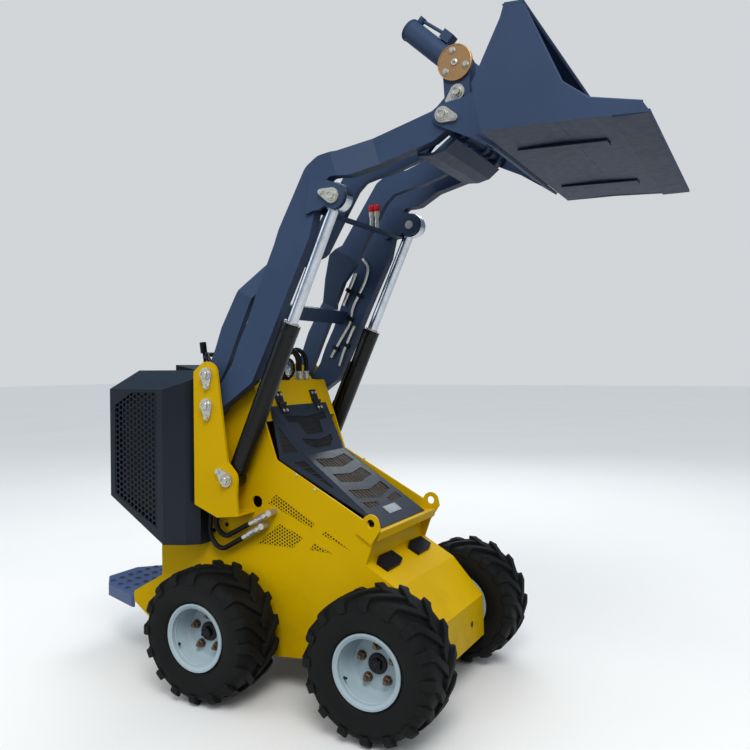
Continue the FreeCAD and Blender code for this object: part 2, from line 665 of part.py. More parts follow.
# Work lamp on the front edge of the console
LAMP = (58.0, 36.0)
lamp_up = CONSOLE_UP + size("lamp_radius") + 8
lamp_axis = toward((LAMP[0] - 52, LAMP[1], lamp_up), (LAMP[0], LAMP[1], lamp_up))
lamp_r = size("lamp_radius")
lamp_body = turned("lamp_body", [(0, 0), (lamp_r * 0.55, 0), (lamp_r * 0.85, 16), (lamp_r, 34),
                                 (lamp_r, 52), (lamp_r - 4, 52), (lamp_r - 4, 44), (0, 44)], lamp_axis)
lamp_foot = box("lamp_foot", (LAMP[0] - 34, LAMP[1] - 15, CONSOLE_UP + size("seat_gap")),
                (LAMP[0] - 8, LAMP[1] + 15, lamp_up - lamp_r + 8))
node("work_lamp", fuse("lamp_with_foot", [lamp_body, lamp_foot]))
node("lamp_lens", turned("lens", [(0, 44.3), (lamp_r - 4.3, 44.3), (lamp_r - 4.3, 48), (0, 54)],
                         lamp_axis))

# Control panel and grab rail of the operator, behind the arms
console_top = CONSOLE_UP + size("seat_gap")
panel = prism("panel_block", [(-330, -170, console_top), (-190, -170, console_top),
                              (-190, -170, console_top + 34), (-330, -170, console_top + 62)],
              (0, 1, 0), 340)
levers = []
for i, y in enumerate((-80, 80)):
    levers.append(bar(f"lever_stick{i}", (-255, y, console_top + 30), (-268, y, console_top + 120), 6))
    levers.append(bar(f"lever_grip{i}", (-266, y, console_top + 108), (-272, y, console_top + 150), 13))
node("control_panel", fuse("panel_with_levers", [panel] + levers))
rail_up = console_top + 100
node("grab_rail", tube("rail", [(-133, -200, console_top), (-133, -200, rail_up - 32),
                                (-160, -200, rail_up), (-160, 200, rail_up),
                                (-133, 200, rail_up - 32), (-133, 200, console_top)], 9))

# Wheel motors on the side plates
motors = []
for tag, axle in (("rear", REAR_AXLE), ("front", FRONT_AXLE)):
    base = along_y(axle[0], axle[1], -PLATE_OUTER)
    reach = size("tyre_inner") + 28 - PLATE_OUTER
    bore = size("shaft_radius") + size("run_gap")
    motors.append(turned(f"motor_{tag}", [(bore, 14), (0, 14), (0, 0), (70, 0), (70, 10),
                                          (size("motor_radius"), 10),
                                          (size("motor_radius"), reach), (bore, reach)], base))
pair("wheel_motors", *motors)

# Wheels: tyre, rim and hub for each corner
rim_outer = size("bead_radius") - size("rim_seat_gap")
tyre_in = size("tyre_inner")
tyre_out = tyre_in + size("tyre_width")


# Tyre about the local Z axis: flat-sided carcass and lugs that lead toward the middle of the tread
CARCASS_SIDES = 16
LUGS_A_SIDE = 16
LUG_LEAD = 0.16
tyre_mid = (tyre_in + tyre_out) / 2
half_tyre = size("tyre_width") / 2
tread_radius = size("tyre_radius") - size("lug_height")
grow = 1 / math.cos(math.pi / CARCASS_SIDES)
SECTION = ((size("bead_radius") * grow, half_tyre - 25), (146, half_tyre - 3), (178, half_tyre),
           (tread_radius, half_tyre - 24))
CARCASS = tuple((radius, -out) for radius, out in SECTION) + SECTION[::-1]


def spot_on_tyre(radius, side, angle):
    """Point at a radius and a distance from the middle of the tread, angle in radians."""
    return Vector(radius * math.cos(angle), radius * math.sin(angle), tyre_mid + side)


def carcass():
    """Ring with flat sides, turned so that each lug meets as few of their edges as can be."""
    made = doc.addObject("Part::Feature", "tyre_carcass")
    faces = []
    for (r0, s0), (r1, s1) in zip(CARCASS, CARCASS[1:] + CARCASS[:1]):
        for i in range(CARCASS_SIDES):
            a, b = (2 * math.pi * (i + k + LUG_LEAD) / CARCASS_SIDES for k in (0, 1))
            quad = [spot_on_tyre(r0, s0, a), spot_on_tyre(r0, s0, b), spot_on_tyre(r1, s1, b),
                    spot_on_tyre(r1, s1, a)]
            faces.append(Part.Face(Part.makePolygon(quad + quad[:1])))
    solid = Part.Solid(Part.Shell(faces))
    if solid.Volume < 0:
        solid.reverse()
    made.Shape = solid
    return made


def lug(name, turn, side):
    """Flat-walled bar over the shoulder to past the middle: rows (across, ahead, top radius)."""
    r_tip, half_width = size("tyre_radius"), size("lug_width") / 2
    rows = ((half_tyre + 1, 0, r_tip - 24), (half_tyre - 24, 4, r_tip - 3), (-3, 74, r_tip))
    middle = turn + rows[-1][1] / 2 / r_tip
    down = Vector(-math.cos(middle), -math.sin(middle), 0) * (size("lug_height") + 12)
    rings = []
    for out, ahead, top in rows:
        low, high = (spot_on_tyre(top, side * out, turn + (ahead + half) / r_tip)
                     for half in (-half_width, half_width))
        rings.append([low, high, high + down, low + down])
    return flat_solid(name, rings, (1, 3))


lugs = []
for i in range(LUGS_A_SIDE):
    lugs.append(lug(f"lug_out{i}", 2 * math.pi * i / LUGS_A_SIDE, 1))
    lugs.append(lug(f"lug_in{i}", 2 * math.pi * (i + 0.5) / LUGS_A_SIDE, -1))
TYRE = fuse("tyre_shape", [carcass()] + lugs)


def wheel(tag, axle, outward):
    """Three pieces of one wheel; outward is the sign of Y."""
    place = along_y(axle[0], axle[1], 0, outward)
    r_flange = size("flange_radius")
    tyre = doc.addObject("Part::Compound", f"tyre_body_{tag}")
    tyre.Links = [TYRE]
    tyre.Placement = along_y(axle[0], axle[1], 0)
    node(f"tyre_{tag}", tyre if outward < 0 else mirrored(f"tyre_twin_{tag}", tyre))
    inner = rim_outer - size("rim_sheet")
    disc, sheet_disc = size("disc_out"), size("disc_sheet")
    side_in, side_out = tyre_in + 13, tyre_out - 13
    rim = turned(f"rim_body_{tag}", [
        (r_flange, side_out), (r_flange, side_out - 5), (rim_outer, side_out - 5),
        (rim_outer, side_in + 5), (r_flange, side_in + 5), (r_flange, side_in),
        (inner, side_in), (inner, disc - sheet_disc), (32, disc - sheet_disc), (32, disc),
        (82, disc), (90, disc + 16), (inner - 4, disc + 40), (inner, disc + 58),
        (inner, side_out - 4), (r_flange - 6, side_out)], place)
    studs, holes = [], []
    for i in range(5):
        angle = math.radians(90 + 72 * i)
        dx, dz = size("stud_circle") * math.cos(angle), size("stud_circle") * math.sin(angle)
        spot = along_y(axle[0] + dx, axle[1] + dz, outward * (disc - sheet_disc - 12), outward)
        studs.append(cylinder(f"stud_{tag}{i}", "Sizes.stud_radius", "Sizes.disc_sheet + 26", spot))
        nut = doc.addObject("Part::Prism", f"nut_{tag}{i}")
        nut.Polygon = 6
        nut.setExpression("Circumradius", "Sizes.stud_radius * 1.85")
        nut.setExpression("Height", "Sizes.stud_radius * 1.6")
        nut.Placement = along_y(axle[0] + dx, axle[1] + dz, outward * disc, outward)
        studs.append(nut)
        holes.append(cylinder(f"hole_{tag}{i}", "Sizes.stud_radius + Sizes.run_gap",
                              "Sizes.disc_sheet + 40", spot))
    node(f"rim_{tag}", cut(f"rim_drilled_{tag}", rim, fuse(f"holes_{tag}", holes)))
    reach = tyre_in + 30
    back = disc - sheet_disc
    hub = turned(f"hub_body_{tag}", [
        (0, tyre_in - 6), (size("shaft_radius"), tyre_in - 6), (size("shaft_radius"), reach),
        (size("hub_radius"), reach), (size("hub_radius"), back - 12), (72, back - 12), (72, back),
        (31, back), (31, disc + 6), (17, disc + 8), (17, disc + 24), (0, disc + 24)], place)
    node(f"hub_{tag}", fuse(f"hub_studded_{tag}", [hub] + studs))


WHEELS = (("rear_right", REAR_AXLE, -1.0), ("rear_left", REAR_AXLE, 1.0),
          ("front_right", FRONT_AXLE, -1.0), ("front_left", FRONT_AXLE, 1.0))
for wheel_tag, wheel_axle, wheel_side in WHEELS:
    wheel(wheel_tag, wheel_axle, wheel_side)

# Hood: facets between named corners, extruded along one direction so that they close up
HOOD_TOP = ((128, 190, 995), (128, -190, 995))
HOOD_FOLD = ((238, 136, 820), (238, -136, 820))
HOOD_WING = ((190, 226, 813), (190, -226, 813))
HOOD_TIP = ((HOOD_FRONT, 176, HOOD_FRONT_UP), (HOOD_FRONT, -176, HOOD_FRONT_UP))
hood_down = Vector(-0.55, 0, -0.84)
hood_down.normalize()
hood_faces = (
    (HOOD_TOP[0], HOOD_TOP[1], HOOD_FOLD[1], HOOD_FOLD[0]),
    (HOOD_FOLD[0], HOOD_FOLD[1], HOOD_TIP[1], HOOD_TIP[0]),
    (HOOD_TOP[0], HOOD_FOLD[0], HOOD_WING[0]),
    (HOOD_TOP[1], HOOD_WING[1], HOOD_FOLD[1]),
    (HOOD_WING[0], HOOD_FOLD[0], HOOD_TIP[0]),
    (HOOD_WING[1], HOOD_TIP[1], HOOD_FOLD[1]),
)
hood_parts = [prism(f"hood_facet{i}", points, hood_down, size("hood_sheet"))
              for i, points in enumerate(hood_faces)]

# Openings of the hood, as rows (across, down) on the two panels and as shares on the side facets
UPPER_OPENINGS = (
    ((-140, 40), (0, 52), (140, 40), (133, 70), (74, 74), (58, 128), (-58, 128), (-74, 74),
     (-133, 70)),
    ((-105, 140), (0, 154), (105, 140), (92, 166), (50, 188), (-50, 188), (-92, 166)),
)
SLOPE_OPENINGS = (
    ((-105, 27), (0, 40), (105, 27), (115, 72), (0, 93), (-115, 72)),
    ((-108, 115), (0, 132), (108, 115), (118, 162), (0, 184), (-118, 162)),
    ((-124, 204), (0, 227), (124, 204), (124, 250), (0, 276), (-124, 250)),
    ((-134, 272), (-38, 288), (-44, 308), (-137, 305)),
    ((134, 272), (137, 305), (44, 308), (38, 288)),
)
WING_OPENINGS = ((0.245, 0.145), (0.76, 0.142), (0.20, 0.717)), (0.0, 0.34, 0.66, 1.0)
FLANK_OPENINGS = ((0.278, 0.537), (0.286, 0.07), (0.678, 0.072)), (0.16, 0.44, 0.62, 0.80, 1.0)


def panel_frame(top, bottom):
    """Origin and unit vectors of a panel whose top and bottom edges run across."""
    origin = Vector(top[0], 0, top[2])
    down = Vector(bottom[0], 0, bottom[2]) - origin
    length = down.Length
    down.normalize()
    return origin, down, Vector(-down.z, 0, down.x), length


def through(name, points, normal):
    """Cutter through the hood at a closed line of points."""
    reach = 6 * size("hood_sheet")
    lifted = [p + normal * (reach / 3) for p in points]
    return prism(name, [(p.x, p.y, p.z) for p in lifted], (-normal.x, -normal.y, -normal.z), reach)


def facet_cells(corner, first, second, triangle, steps):
    """Openings with bars between them, in a triangle given by shares of the facet's two edges."""
    at = [corner + (first - corner) * a + (second - corner) * b for a, b in triangle]
    cells = []
    for low, high in zip(steps, steps[1:]):
        low = low + 0.03 if low > 0 else low
        cell = [at[0] + (at[1] - at[0]) * low, at[0] + (at[1] - at[0]) * high,
                at[0] + (at[2] - at[0]) * high, at[0] + (at[2] - at[0]) * low]
        cells.append(cell[:3] if low == 0 else cell)
    return cells


hood_tools, screens = [], []
screen_sheet = size("screen_sheet")
for tag, top, bottom, openings in (("upper", HOOD_TOP[0], HOOD_FOLD[0], UPPER_OPENINGS),
                                   ("slope", HOOD_FOLD[0], HOOD_TIP[0], SLOPE_OPENINGS)):
    origin, down, normal, length = panel_frame(top, bottom)
    for i, rows in enumerate(openings):
        points = [origin + down * d + Vector(0, y, 0) for y, d in rows]
        hood_tools.append(through(f"{tag}_opening{i}", points, normal))
    under = -(size("hood_sheet") * abs(normal.dot(hood_down)) + size("seat_gap"))
    low_down, high_down, half_low, half_high = ((30, length - 10, 145, 118) if tag == "upper"
                                                else (14, 316, 122, 146))
    outline = [origin + down * d + Vector(0, y, 0) + normal * under
               for y, d in ((-half_low, low_down), (half_low, low_down), (half_high, high_down),
                            (-half_high, high_down))]
    screens.append(prism(f"{tag}_screen", [tuple(p) for p in outline], (-normal.x, 0, -normal.z),
                         screen_sheet))
for side in (1, 0):
    top, fold, wing, tip = (Vector(*face[side]) for face in (HOOD_TOP, HOOD_FOLD, HOOD_WING, HOOD_TIP))
    for tag, corner, first, second, (triangle, steps) in (
            ("wing", top, wing, fold, WING_OPENINGS), ("flank", wing, fold, tip, FLANK_OPENINGS)):
        normal = (first - corner).cross(second - corner)
        normal.normalize()
        if normal.z < 0:
            normal = normal * -1
        for i, cell in enumerate(facet_cells(corner, first, second, triangle, steps)):
            hood_tools.append(through(f"{tag}_cell{side}{i}", cell, normal))
        middle = (corner + first + second) / 3
        under = -(size("hood_sheet") * abs(normal.dot(hood_down)) + size("seat_gap"))
        outline = [middle + (p - middle) * 0.8 + normal * under for p in (corner, first, second)]
        screens.append(prism(f"{tag}_screen{side}", [tuple(p) for p in outline],
                             (-normal.x, -normal.y, -normal.z), screen_sheet))
node("hood", cut("hood_open", fuse("hood_shell", hood_parts), fuse("hood_openings", hood_tools)))
node("hood_screens", *screens)

# Strap hinges of the hood: leaf and knuckle on the console, leaf, knuckles and pin on the hood
HINGE = (130.5, 1003.5)
HINGE_SIDE, HINGE_HALF, KNUCKLE, HINGE_PIN = 120.0, 21.0, 5.5, 2.5
face_down = Vector(console_end[0] - 90, 0, console_end[1] - CONSOLE_UP)
face_down.normalize()
face_out = Vector(-face_down.z, 0, face_down.x)
face_origin = Vector(90, 0, CONSOLE_UP)
hinge_along = (Vector(HINGE[0], 0, HINGE[1]) - face_origin).dot(face_down)


def leaf(name, origin, down, normal, low, high, thick, y_low, y_high):
    """Flat leaf on a panel, seated just above it."""
    points = []
    for along, y in ((low, y_low), (low, y_high), (high, y_high), (high, y_low)):
        p = origin + down * along + normal * size("seat_gap") + Vector(0, y, 0)
        points.append((p.x, p.y, p.z))
    return prism(name, points, tuple(normal), thick)


def knuckle(name, y_low, y_high, radius):
    """Barrel about the hinge line."""
    return bar(name, (HINGE[0], y_low, HINGE[1]), (HINGE[0], y_high, HINGE[1]), radius)


third = 2 * HINGE_HALF / 3
hinge_low = -(HINGE_SIDE + HINGE_HALF)
fixed_leaf = leaf("fixed_leaf", face_origin, face_down, face_out, hinge_along - 48, hinge_along - 0.5,
                  6, hinge_low, -(HINGE_SIDE - HINGE_HALF))
fixed_room = [knuckle(f"fixed_room{i}", low, high, KNUCKLE + 1.0)
              for i, (low, high) in enumerate(((hinge_low - 1, hinge_low + third + 0.5),
                                               (hinge_low + 2 * third - 0.5, hinge_low + 3 * third + 1)))]
fixed_barrel = cut("fixed_barrel", fuse("fixed_solid", [
    cut("fixed_leaf_cut", fixed_leaf, fuse("fixed_rooms", fixed_room)),
    knuckle("fixed_knuckle", hinge_low + third, hinge_low + 2 * third, KNUCKLE)]),
    knuckle("fixed_bore", hinge_low - 2, hinge_low + 3 * third + 2, HINGE_PIN + 0.1))
pair("hinge_leaves", fixed_barrel)
origin, down, normal, length = panel_frame(HOOD_TOP[0], HOOD_FOLD[0])
hood_leaf = leaf("hood_leaf", origin, down, normal, -4, 34, 4, hinge_low,
                 -(HINGE_SIDE - HINGE_HALF))
hood_room = knuckle("hood_room", hinge_low + third - 0.5, hinge_low + 2 * third + 0.5, KNUCKLE + 1.0)
hood_hinge = fuse("hood_hinge", [
    cut("hood_leaf_cut", hood_leaf, hood_room),
    knuckle("hood_knuckle_a", hinge_low, hinge_low + third - 0.5, KNUCKLE),
    knuckle("hood_knuckle_b", hinge_low + 2 * third + 0.5, hinge_low + 3 * third, KNUCKLE),
    knuckle("hood_hinge_pin", hinge_low + 0.5, hinge_low + 3 * third - 0.5, HINGE_PIN)])
pair("hood_hinges", hood_hinge)

# Main arms: side outline, cut to a band that jogs inward at two tilted folds
arm_outline = [lobe(ARM_PIVOT, 44), (-3, 1076, 20), (12, 1092), (55, 1151), (80, 1215), (120, 1293),
               (157, 1386), (232, 1548), (251, 1597), (258, 1610), (358, 1793, 60), (405, 1825, 60),
               (472, 1835), (576, 1870), (721, 1909), (787, 1927), lobe(TIP, 40), (790, 1834),
               (613, 1789), (512, 1753, 20), (450, 1753, 20), (404, 1703, 20), (390, 1632, 20),
               (373, 1563), (267, 1350),
               (215, 1239), (137, 1084, 40), (13, 999)]
FOLD_LEAN = (0.29, 0, -0.957)


def flat_profile(name, loops, y, depth):
    """Part extrusion of an X Z sketch, from y toward the right."""
    sketch = doc.addObject("Sketcher::SketchObject", name + "_outline")
    sketch.Placement = Placement(Vector(0, y, 0), Rotation(Vector(1, 0, 0), 90))
    for shapes in loops:
        sketch.addGeometry(shapes, False)
    made = doc.addObject("Part::Extrusion", name)
    made.Base = sketch
    made.DirMode = "Custom"
    made.Dir = Vector(0, -1, 0)
    made.LengthFwd = depth
    made.Solid = True
    return made


arm_side = flat_profile("arm_side", [contour(arm_outline), hole(ARM_PIVOT, PIN_HOLE),
                                     hole(TIP, PIN_HOLE)],
                        -(arm_in - jog - 20), size("arm_width") + jog + 40)
FOLD_NEAR, FOLD_FAR = 462.0, 600.0
lean = Vector(*FOLD_LEAN)
band = [(-300, arm_out), (FOLD_NEAR, arm_out), (FOLD_FAR, arm_out - jog), (1100, arm_out - jog),
        (1100, arm_in - jog), (FOLD_FAR, arm_in - jog), (FOLD_NEAR, arm_in), (-300, arm_in)]
arm_band = prism("arm_band", [(x - lean.x * 1000, -y, 1800 - lean.z * 1000) for x, y in band],
                 FOLD_LEAN, 2200)
pair("main_arms", common("main_arm", arm_side, arm_band))

# Cross members of the arms
node("arm_cross_members",
     across("arm_bar", [(140, 1318), (160, 1310), (184, 1358), (164, 1366)], "Sizes.arm_inner"),
     across("arm_strip", strip([(398, 1639), (436, 1639)], 6), "Sizes.arm_inner"),
     across("arm_beam", strip([(718, 1806), (770, 1802), (812, 1812), (850, 1842)], 10), TIP_INNER))

# Pipes on the inner face of the left arm, couplers on the rear strip
pipe_y = arm_in - size("pipe_radius") - size("seat_gap")
PIPES = (
    ((112, 1175), (165, 1255), (203, 1310), (212, 1370), (275, 1480), (290, 1535), (262, 1568)),
    ((150, 1140), (172, 1200), (222, 1300)),
    ((172, 1385), (232, 1512)),
)
node("arm_pipes", *[tube(f"arm_pipe{i}", [(x, pipe_y, z) for x, z in rows], size("pipe_radius"))
                    for i, rows in enumerate(PIPES)])
couplers = []
for i, x in enumerate((408, 430)):
    rows = ((1645.3, 1690, 7.5), (1688, 1710, 10), (1708, 1730, 8.5))
    couplers.append(fuse(f"quick_coupler{i}", [
        bar(f"coupler_step{i}{k}", (x, 62, low), (x, 62, high), radius)
        for k, (low, high, radius) in enumerate(rows)]))
node("quick_couplers", *couplers)

# Brackets of the lift cylinders on both faces of each arm
bracket_outline = [(381, 1761), (467, 1732, 20), lobe(LIFT_EYE, 41), (443, 1658, 12), (412, 1645.3),
                   (396, 1645.3), (365, 1636)]
bracket_hole = [(LIFT_EYE, PIN_HOLE)]
bracket_out = plate("bracket_out", bracket_outline, ARM_OUTER, "Sizes.bracket_sheet", bracket_hole)
bracket_in = plate("bracket_in", bracket_outline, "Sizes.arm_inner - Sizes.bracket_sheet",
                   "Sizes.bracket_sheet", bracket_hole)
pair("lift_brackets", bracket_out, bracket_in)
pair("lift_eye_pins",
     keeper_pin("eye_stub", LIFT_EYE, (-38, 14), ARM_OUTER, f"{ARM_OUTER} + Sizes.bracket_sheet"),
     plain_pin("eye_stub_in", LIFT_EYE, "Sizes.arm_inner - Sizes.bracket_sheet",
               "Sizes.arm_inner"))

# Links above the arms, jogging further in than the arms do
link_outline = [lobe(LINK_PIVOT, 34), (24, 1155), (65, 1247), (115, 1353), (136, 1391), (222, 1470),
                (314, 1524), (399, 1663), (449, 1742), (480, 1770, 30), (519, 1779), (594, 1792),
                (693, 1822, 40), lobe(LINK_TIP, 33), (734, 1972), (607, 1879, 40), (533, 1853),
                (454, 1847, 30), (410, 1818, 30), (262, 1600), (190, 1572), (125, 1490),
                (57, 1387), (-5, 1277), (-33, 1203)]
link_side = flat_profile("link_side", [contour(link_outline), hole(LINK_PIVOT, PIN_HOLE),
                                       hole(LINK_TIP, PIN_HOLE)],
                         -(link_in - link_jog - 20), link_jog + size("link_width") + 40)
LINK_RISE = math.radians(62.0)
ux, uz = math.cos(LINK_RISE), math.sin(LINK_RISE)
FOLD_LOW, FOLD_HIGH = 1273.0, 1510.0
link_plan = [(500, link_out), (FOLD_LOW, link_out), (FOLD_HIGH, link_out - link_jog),
             (2600, link_out - link_jog), (2600, link_in - link_jog), (FOLD_HIGH, link_in - link_jog),
             (FOLD_LOW, link_in), (500, link_in)]
link_band = prism("link_band", [(s * ux, -y, s * uz) for s, y in link_plan], (-uz, 0, ux), 900)
pair("links", common("link", link_side, link_band))

# Coupler: tube between the arm tips with four lever plates
tube_half = f"({TIP_INNER} - Sizes.tube_end_gap)"
tube = cylinder("coupler_bar", "Sizes.coupler_tube_radius", f"2 * {tube_half}",
                along_y(TIP[0], TIP[1], 0))
tube.setExpression("Placement.Base.y", tube_half)
lever_outline = [lobe(TIP, 40), lobe(TRUNNION, 46)]
lever_holes = [(LINK_TIP, PIN_HOLE), (TRUNNION, size("trunnion_radius") + size("run_gap"))]
lever_in = plate("lever_in", lever_outline, "Sizes.coupler_inner", "Sizes.lever_sheet", lever_holes)
lever_out = plate("lever_out", lever_outline,
                  "Sizes.coupler_inner + Sizes.lever_sheet + Sizes.lever_gap", "Sizes.lever_sheet",
                  lever_holes)
node("coupler", fuse("coupler_frame", [tube, lever_in, lever_out,
                                       mirrored("lever_in_left", lever_in),
                                       mirrored("lever_out_left", lever_out)]))
LEVER_SEAT = "Sizes.coupler_inner + 2 * Sizes.lever_sheet + Sizes.lever_gap"
pair("link_tip_pins", keeper_pin("link_tip_pin", LINK_TIP, (-30, -26), "Sizes.coupler_inner",
                                 LEVER_SEAT))
cap = cylinder("cap_disc", "Sizes.cap_radius", "Sizes.cap_sheet",
               along_y(TRUNNION[0], TRUNNION[1], 0))
cap.setExpression("Placement.Base.y", f"-({LEVER_SEAT})")
pair("trunnion_caps", cap)

# Tilt cylinder: barrel on trunnions, rod to the hitch
tilt_reach = math.hypot(TILT_EYE[0] - TRUNNION[0], TILT_EYE[1] - TRUNNION[1])
tilt_place = toward((TRUNNION[0], 0, TRUNNION[1]), (TILT_EYE[0], 0, TILT_EYE[1]))
tilt_r, tilt_rod_r = size("tilt_barrel_radius"), size("tilt_rod_radius")
tilt_back, tilt_front = size("tilt_barrel_back"), size("tilt_barrel_front")
tilt_bore = tilt_rod_r + 8
tilt_tube = turned("tilt_tube", [
    (0, -tilt_back), (tilt_r, -tilt_back), (tilt_r, -34), (tilt_r + 7, -34), (tilt_r + 7, 34),
    (tilt_r, 34), (tilt_r, tilt_front), (tilt_rod_r + size("run_gap"), tilt_front),
    (tilt_rod_r + size("run_gap"), tilt_front - 22), (tilt_bore, tilt_front - 22),
    (tilt_bore, 14 - tilt_back), (0, 14 - tilt_back)], tilt_place)
trunnion_end = "(Sizes.coupler_inner + 2 * Sizes.lever_sheet + Sizes.lever_gap - 0.3)"
stub = cylinder("trunnion_stub", "Sizes.trunnion_radius", f"{trunnion_end} - Sizes.tilt_rod_radius - 14",
                along_y(TRUNNION[0], TRUNNION[1], 0))
stub.setExpression("Placement.Base.y", f"-(Sizes.tilt_rod_radius + 14)")
node("tilt_barrel", fuse("tilt_barrel_body", [tilt_tube, stub, mirrored("trunnion_stub_left", stub)]))
tilt_rod = turned("tilt_rod_bar", [
    (0, tilt_reach - size("tilt_rod_length")), (tilt_rod_r, tilt_reach - size("tilt_rod_length")),
    (tilt_rod_r, tilt_reach - 20), (0, tilt_reach - 20)], tilt_place)
tilt_ring = cylinder("tilt_ring", "Sizes.tilt_ring_radius", "Sizes.tilt_eye_width",
                     along_y(TILT_EYE[0], TILT_EYE[1], 0))
tilt_ring.setExpression("Placement.Base.y", "Sizes.tilt_eye_width / 2")
node("tilt_rod", fuse("tilt_rod_eye", [tilt_rod, tilt_ring]))

# Ports and pipe on the barrel of the tilt cylinder, all above it
tilt_way = Vector(TILT_EYE[0] - TRUNNION[0], 0, TILT_EYE[1] - TRUNNION[1])
tilt_way.normalize()
tilt_up = Vector(-tilt_way.z, 0, tilt_way.x)


def on_tilt(along, above, y=0.0):
    """Point by its place along the barrel and its height above the axis."""
    p = Vector(TRUNNION[0], y, TRUNNION[1]) + tilt_way * along + tilt_up * above
    return (p.x, p.y, p.z)


port_foot = tilt_r + size("seat_gap")
port_block = prism("port_block", [on_tilt(a, port_foot, y) for a, y in
                                  ((-180, -22), (-140, -22), (-140, 22), (-180, 22))],
                   (tilt_up.x, 0, tilt_up.z), 34)
butt_port = fuse("butt_port", [bar("butt_boss", on_tilt(20 - tilt_back, port_foot),
                                   on_tilt(20 - tilt_back, port_foot + 20), 13),
                               bar("butt_pipe", on_tilt(20 - tilt_back, port_foot + 10),
                                   on_tilt(-160, port_foot + 22), 6), port_block])
front_port = bar("front_port", on_tilt(tilt_front - 20, port_foot),
                 on_tilt(tilt_front - 20, port_foot + 20), 13)
node("tilt_ports", butt_port, front_port)

# Lift cylinders
lift_reach = math.hypot(LIFT_EYE[0] - LIFT_FOOT[0], LIFT_EYE[1] - LIFT_FOOT[1])
lift_place = toward((LIFT_FOOT[0], lift_y, LIFT_FOOT[1]), (LIFT_EYE[0], lift_y, LIFT_EYE[1]))
lift_r, lift_rod_r = size("lift_barrel_radius"), size("lift_rod_radius")
lift_long, lift_bore = size("lift_barrel_length"), size("lift_barrel_radius") - 5
lift_tube = turned("lift_tube", [
    (0, 30), (lift_r, 30), (lift_r, lift_long), (lift_rod_r + size("run_gap"), lift_long),
    (lift_rod_r + size("run_gap"), lift_long - 25), (lift_bore, lift_long - 25), (lift_bore, 42),
    (0, 42)], lift_place)
half_eye = "Sizes.lift_eye_width / 2"
foot_ring = cylinder("foot_ring", "Sizes.foot_ring_radius", "Sizes.lift_eye_width",
                     along_y(LIFT_FOOT[0], LIFT_FOOT[1], 0))
foot_ring.setExpression("Placement.Base.y", f"{half_eye} - {LIFT_CENTRE}")
foot_bore = cylinder("foot_bore", "Sizes.pin_radius + Sizes.run_gap", "Sizes.lift_eye_width + 20",
                     along_y(LIFT_FOOT[0], LIFT_FOOT[1], 0))
foot_bore.setExpression("Placement.Base.y", f"{half_eye} + 10 - {LIFT_CENTRE}")
pair("lift_barrels", cut("lift_barrel", fuse("lift_barrel_solid", [lift_tube, foot_ring]), foot_bore))
lift_bar = turned("lift_bar", [
    (0, lift_reach - size("lift_rod_length")), (lift_rod_r, lift_reach - size("lift_rod_length")),
    (lift_rod_r, lift_reach - 20), (0, lift_reach - 20)], lift_place)
eye_ring = cylinder("eye_ring", "Sizes.rod_ring_radius", "Sizes.lift_eye_width",
                    along_y(LIFT_EYE[0], LIFT_EYE[1], 0))
eye_ring.setExpression("Placement.Base.y", f"{half_eye} - {LIFT_CENTRE}")
pair("lift_rods", fuse("lift_rod", [lift_bar, eye_ring]))

# Hose along the rear of each barrel
lift_way = Vector(LIFT_EYE[0] - LIFT_FOOT[0], 0, LIFT_EYE[1] - LIFT_FOOT[1])
lift_way.normalize()
behind_lift = Vector(-lift_way.z, 0, lift_way.x)


def on_lift(along, off):
    """Point by its place along a lift cylinder and its distance behind the axis."""
    p = Vector(LIFT_FOOT[0], lift_y, LIFT_FOOT[1]) + lift_way * along + behind_lift * off
    return (p.x, p.y, p.z)


guard_r, guard_fit_r, guard_in = 6.0, 7.5, 33.0
guard_off = math.sqrt((lift_r + guard_fit_r + size("seat_gap")) ** 2 - guard_in ** 2)


def guard_point(along):
    """Point on the hose, in the corner behind the barrel and inside the arm."""
    x, y, z = on_lift(along, guard_off)
    return (x, y + guard_in, z)


pair("lift_guards", fuse("lift_guard", [
    bar("guard_hose", guard_point(70), guard_point(440), guard_r),
    bar("guard_fitting", guard_point(205), guard_point(262), guard_fit_r)]))

# Hitch between the arm tips and the bucket
BACK_TOP, BACK_LOW = (1090, 2092), (1203, 1766)
back = Vector(BACK_LOW[0] - BACK_TOP[0], 0, BACK_LOW[1] - BACK_TOP[1])
back_length = back.Length
back.normalize()


def behind(down, off):
    """Point behind the bucket's back sheet: distance down it and distance off it."""
    return (BACK_TOP[0] + back.x * down + back.z * off, BACK_TOP[1] + back.z * down - back.x * off)


back_off = 0.5
hitch_outline = [lobe(TIP, 35), (914, 1826), (985, 1780), (1045, 1778), behind(back_length - 16, back_off),
                 behind(60, back_off), behind(64, 26), (1000, 1990), (902, 1951)]
hitch_plate = plate("hitch_plate", hitch_outline, HITCH_INNER, "Sizes.hitch_sheet",
                    [(TIP, PIN_HOLE)])
hitch_back = across("hitch_back", [behind(60, back_off), behind(back_length - 16, back_off),
                                   behind(back_length - 16, back_off + 10), behind(60, back_off + 10)],
                    f"{HITCH_INNER} + 1")
hitch_low = across("hitch_low", strip([(966, 1798), (1019, 1761)], 9), "355")
lug_outline = [lobe(TILT_EYE, 30), behind(250, 9), behind(120, 9)]
lug = plate("tilt_lug", lug_outline, "Sizes.tilt_eye_width / 2 + Sizes.lug_gap", "12")
lug_boss = cylinder("tilt_lug_boss", "Sizes.pin_radius + 6", "22", along_y(TILT_EYE[0], TILT_EYE[1], 0))
lug_boss.setExpression("Placement.Base.y", "-(Sizes.tilt_eye_width / 2 + Sizes.lug_gap)")
node("hitch_frame", fuse("hitch_body", [hitch_plate, mirrored("hitch_plate_left", hitch_plate),
                                        hitch_back, hitch_low, lug, mirrored("tilt_lug_left", lug),
                                        lug_boss, mirrored("tilt_lug_boss_left", lug_boss)]))
